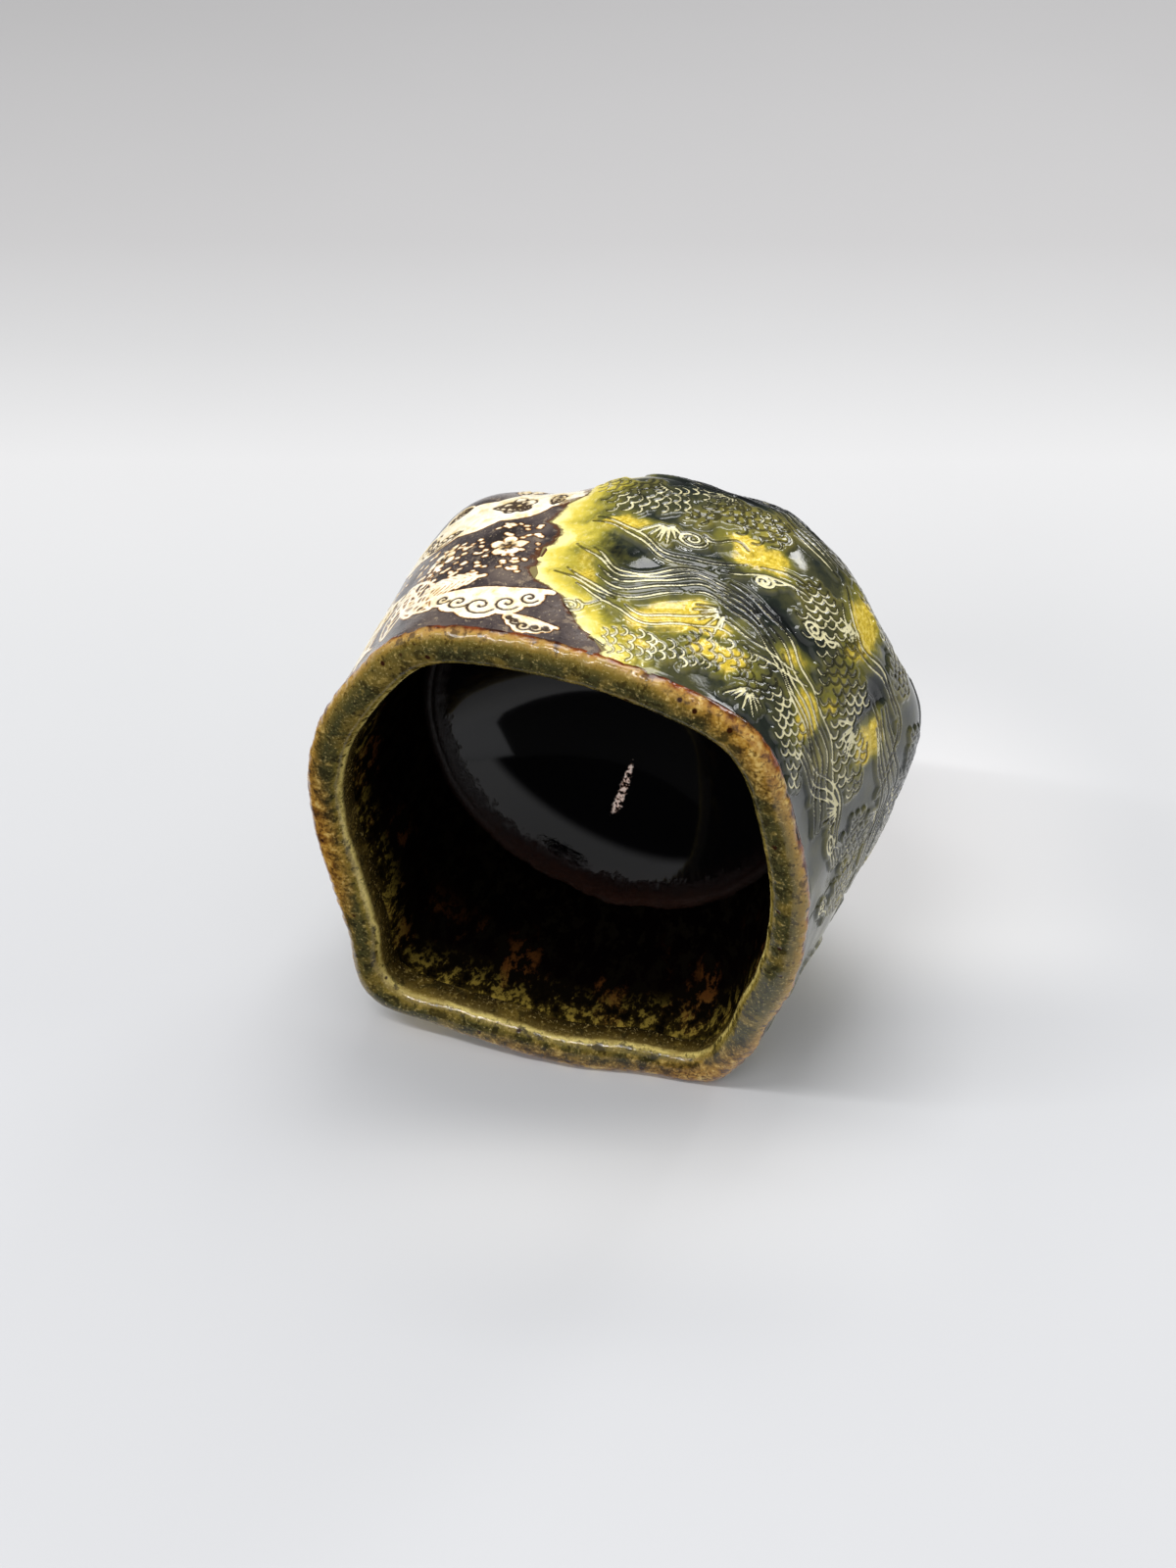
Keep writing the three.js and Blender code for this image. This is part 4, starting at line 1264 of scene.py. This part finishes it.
def paper_finish(setting):
    """Matt pale paper, with light and shade painted on it: from near to far, from side to side, and
    two lighter patches by the cup. From behind it isn't there, and far out it fades into the room."""
    material, tree = fired("pale_paper_floor")
    shader = tree.nodes["Principled BSDF"]
    shader.inputs["Roughness"].default_value = 0.9
    shader.inputs["Specular IOR Level"].default_value = 0.1
    spot = add(tree, "TexCoord", out="Object")
    away = add(tree, "VectorMath", spot, ALONG_SIGHT, operation="DOT_PRODUCT")
    across = add(tree, "VectorMath", spot, ACROSS_SIGHT, operation="DOT_PRODUCT")
    # Painted light and shade across the floor from near to far
    tone = add(tree, "ValToRGB", add(tree, "MapRange", away, -0.1, 0.3), stops=FLOOR_PAINTED_LIGHT)

    # Two patches of painted light, before the cup and beside it, that lighten its shadow there
    off_middle = add(tree, "Math", across, 0.011, operation="SUBTRACT")
    off_middle = add(tree, "Math", off_middle, operation="ABSOLUTE")
    before = add(tree, "Math", where(tree, (away, -0.078, -0.057)),
                 where(tree, (away, -0.044, -0.055)), operation="MINIMUM")
    before = add(tree, "Math", before, where(tree, (off_middle, 0.046, 0.004)), **TIMES)
    painted_light_beside_cup = add(tree, "Math", where(tree, (away, -0.032, -0.014)),
                     where(tree, (away, 0.05, 0.004)), operation="MINIMUM")
    painted_light_beside_cup = add(tree, "Math", painted_light_beside_cup,
                     where(tree, (across, -0.068, -0.034), (across, 0.0, -0.02)), **TIMES)
    light = add(tree, "Math", before, painted_light_beside_cup, operation="MAXIMUM")
    light = add(tree, "Math", light, 0.95, **TIMES)
    tone = add(tree, "Mix", light, tone, "#ffffff", **COLOURS)
    # Painted shade: a little darker towards one side across the floor
    tilt = add(tree, "MapRange", across, -0.08, 0.08)
    tilt = add(tree, "Mix", tilt, "#f8f8f8", "#f2f2f2", **COLOURS)
    tone = add(tree, "Mix", 1.0, tone, tilt, blend_type="MULTIPLY", **COLOURS)

    cloudy = add(tree, "TexNoise", Vector=spot, Scale=1 / (60 * MM), Detail=3, Roughness=0.55)
    paper = layered(tree, (*setting.floor, 1.0), ("#e3e3e4", 0.25, (cloudy, 0.3, 0.7)))
    paper = add(tree, "Mix", 1.0, paper, tone, blend_type="MULTIPLY", **COLOURS)
    tree.links.new(paper, shader.inputs["Base Color"])

    far = where(tree, (add(tree, "VectorMath", spot, operation="LENGTH"), 0.3, 0.55))
    gone = add(tree, "Math", add(tree, "NewGeometry", out="Backfacing"),
               add(tree, "LightPath", out="Is Shadow Ray"), operation="MAXIMUM")
    gone = add(tree, "Math", gone, far, operation="MAXIMUM")
    both = add(tree, "MixShader", gone, shader.outputs[0], add(tree, "BsdfTransparent"))
    tree.links.new(both, tree.nodes["Material Output"].inputs["Surface"])
    return material


def lay_floor(setting):
    bm = bmesh.new()
    bmesh.ops.create_circle(bm, cap_ends=True, radius=FLOOR_RADIUS * MM, segments=96)
    upright = Matrix.Rotation(math.radians(90), 3, "X")
    bmesh.ops.rotate(bm, verts=bm.verts, cent=(0, 0, 0), matrix=upright)
    bmesh.ops.translate(bm, verts=bm.verts, vec=(0, FLOOR_LEVEL * MM + AXIS.y, 0.02))
    placed("floor", mesh_of(bm, "floor", paper_finish(setting)))


def lay_dark_card():
    """The card whose black the pool mirrors. Nothing else sees it, and it throws no shadow."""
    bm = bmesh.new()
    bm.faces.new([bm.verts.new(AXIS + Vector((x, CARD_LEVEL, z)) * MM) for x, z in CARD_OUTLINE])
    material, tree = fired("matt_black_card")
    shader = tree.nodes["Principled BSDF"]
    shader.inputs["Base Color"].default_value = (*linear("#040404"), 1.0)
    shader.inputs["Roughness"].default_value = 0.9
    card = placed("dark_card", mesh_of(bm, "dark_card", material))
    card.visible_camera = card.visible_diffuse = card.visible_shadow = False
    card.visible_transmission = False


def light_room(setting):
    """A pale room with a dark side that the pool mirrors. The camera sees the plain backdrop, and
    only the rays that light things see the room's own light."""
    world = bpy.data.worlds.new("pale_room")
    bpy.context.scene.world = world
    world.use_nodes = True
    tree = world.node_tree
    tree.nodes.clear()
    way = add(tree, "TexCoord", out="Generated")
    mirrored = add(tree, "LightPath", out="Is Glossy Ray")
    seen = add(tree, "Math", add(tree, "LightPath", out="Is Camera Ray"),
               add(tree, "LightPath", out="Is Transmission Ray"), operation="MAXIMUM")
    seen = add(tree, "Math", seen, mirrored, operation="MAXIMUM")
    dark = add(tree, "VectorMath", way, DARK_SIDE, operation="DOT_PRODUCT")
    dark = where(tree, (dark, 0.45, 0.53))
    light = add(tree, "Background", add(tree, "Mix", dark, "#f6f6f6", "#7c7c7e", **COLOURS), 0.66)
    low = where(tree, (add(tree, "SeparateXYZ", way, out="Y"), -0.7, 0.05))
    behind = where(tree, (add(tree, "SeparateXYZ", way, out="Z"), -0.35, 0.05))
    walls = add(tree, "Mix", low, "#cececf", "#e4e4e5", **COLOURS)
    walls = add(tree, "Mix", behind, "#5c5e60", walls, **COLOURS)
    walls = add(tree, "Mix", dark, walls, "#0e0e0f", **COLOURS)
    shown = add(tree, "Mix", mirrored, (*setting.backdrop, 1.0), walls, **COLOURS)
    both = add(tree, "MixShader", seen, light, add(tree, "Background", shown, 1.0))
    add(tree, "OutputWorld", Surface=both)


def hang_lamps():
    for name, at, width, tall, watts, mirrored in LAMPS:
        lamp = bpy.data.lights.new(name, "AREA")
        lamp.shape, lamp.size, lamp.size_y, lamp.energy = "RECTANGLE", width, tall, watts
        hung = placed(name, lamp)
        hung.visible_glossy, hung.visible_camera = mirrored, False
        hung.location = Vector(at) + AXIS
        towards = AXIS + Vector((0, 0, LIT_HEIGHT * MM)) - hung.location
        hung.rotation_euler = towards.to_track_quat("-Z", "Y").to_euler()


def set_camera():
    """Stands the camera before the lying cup, at the photograph's angle."""
    camera = bpy.data.cameras.new("camera")
    camera.sensor_width, camera.lens = 36.0, 54.0
    camera.clip_start, camera.clip_end = 0.01, 10.0
    seat = placed("camera", camera)
    back = Matrix(CAMERA_AXES).transposed().normalized()
    stand = AXIS - back @ (Vector(CUP_BEFORE_CAMERA) * MM)
    seat.matrix_world = Matrix.Translation(stand) @ back.to_4x4()
    bpy.context.scene.camera = seat


class Cup_OT_stage(bpy.types.Operator):
    """Sets the floor, the lamps, the world and the camera"""
    bl_idname = "sake_cup.stage"
    bl_label = "Stage"

    def execute(self, context):
        setting = context.scene.cup_stage
        lay_floor(setting)
        lay_dark_card()
        light_room(setting)
        hang_lamps()
        set_camera()
        context.scene.view_settings.view_transform = "Standard"
        return {"FINISHED"}


class Cup_PT_panel(bpy.types.Panel):
    bl_idname = "CUP_PT_panel"
    bl_label = "Sake Cup"
    bl_space_type = "VIEW_3D"
    bl_region_type = "UI"
    bl_category = "Sake Cup"

    def draw(self, context):
        for group in (context.scene.cup_sizes, context.scene.cup_stage):
            for name in group.__annotations__:
                self.layout.prop(group, name)
        for operator in OPERATORS:
            self.layout.operator(operator.bl_idname)


OPERATORS = (Cup_OT_clay, Cup_OT_outer_coats, Cup_OT_lip, Cup_OT_lining, Cup_OT_pool, Cup_OT_stage)
CLASSES = (CupSizes, StageSettings, *OPERATORS, Cup_PT_panel)


def register():
    for cls in CLASSES:
        bpy.utils.register_class(cls)
    bpy.types.Scene.cup_sizes = bpy.props.PointerProperty(type=CupSizes)
    bpy.types.Scene.cup_stage = bpy.props.PointerProperty(type=StageSettings)


def unregister():
    del bpy.types.Scene.cup_stage
    del bpy.types.Scene.cup_sizes
    for cls in reversed(CLASSES):
        bpy.utils.unregister_class(cls)


def main():
    register()
    bpy.ops.sake_cup.clay()
    bpy.ops.sake_cup.outer_coats()
    bpy.ops.sake_cup.lip()
    bpy.ops.sake_cup.lining()
    bpy.ops.sake_cup.pool()
    bpy.ops.sake_cup.stage()


if __name__ == "__main__":
    main()
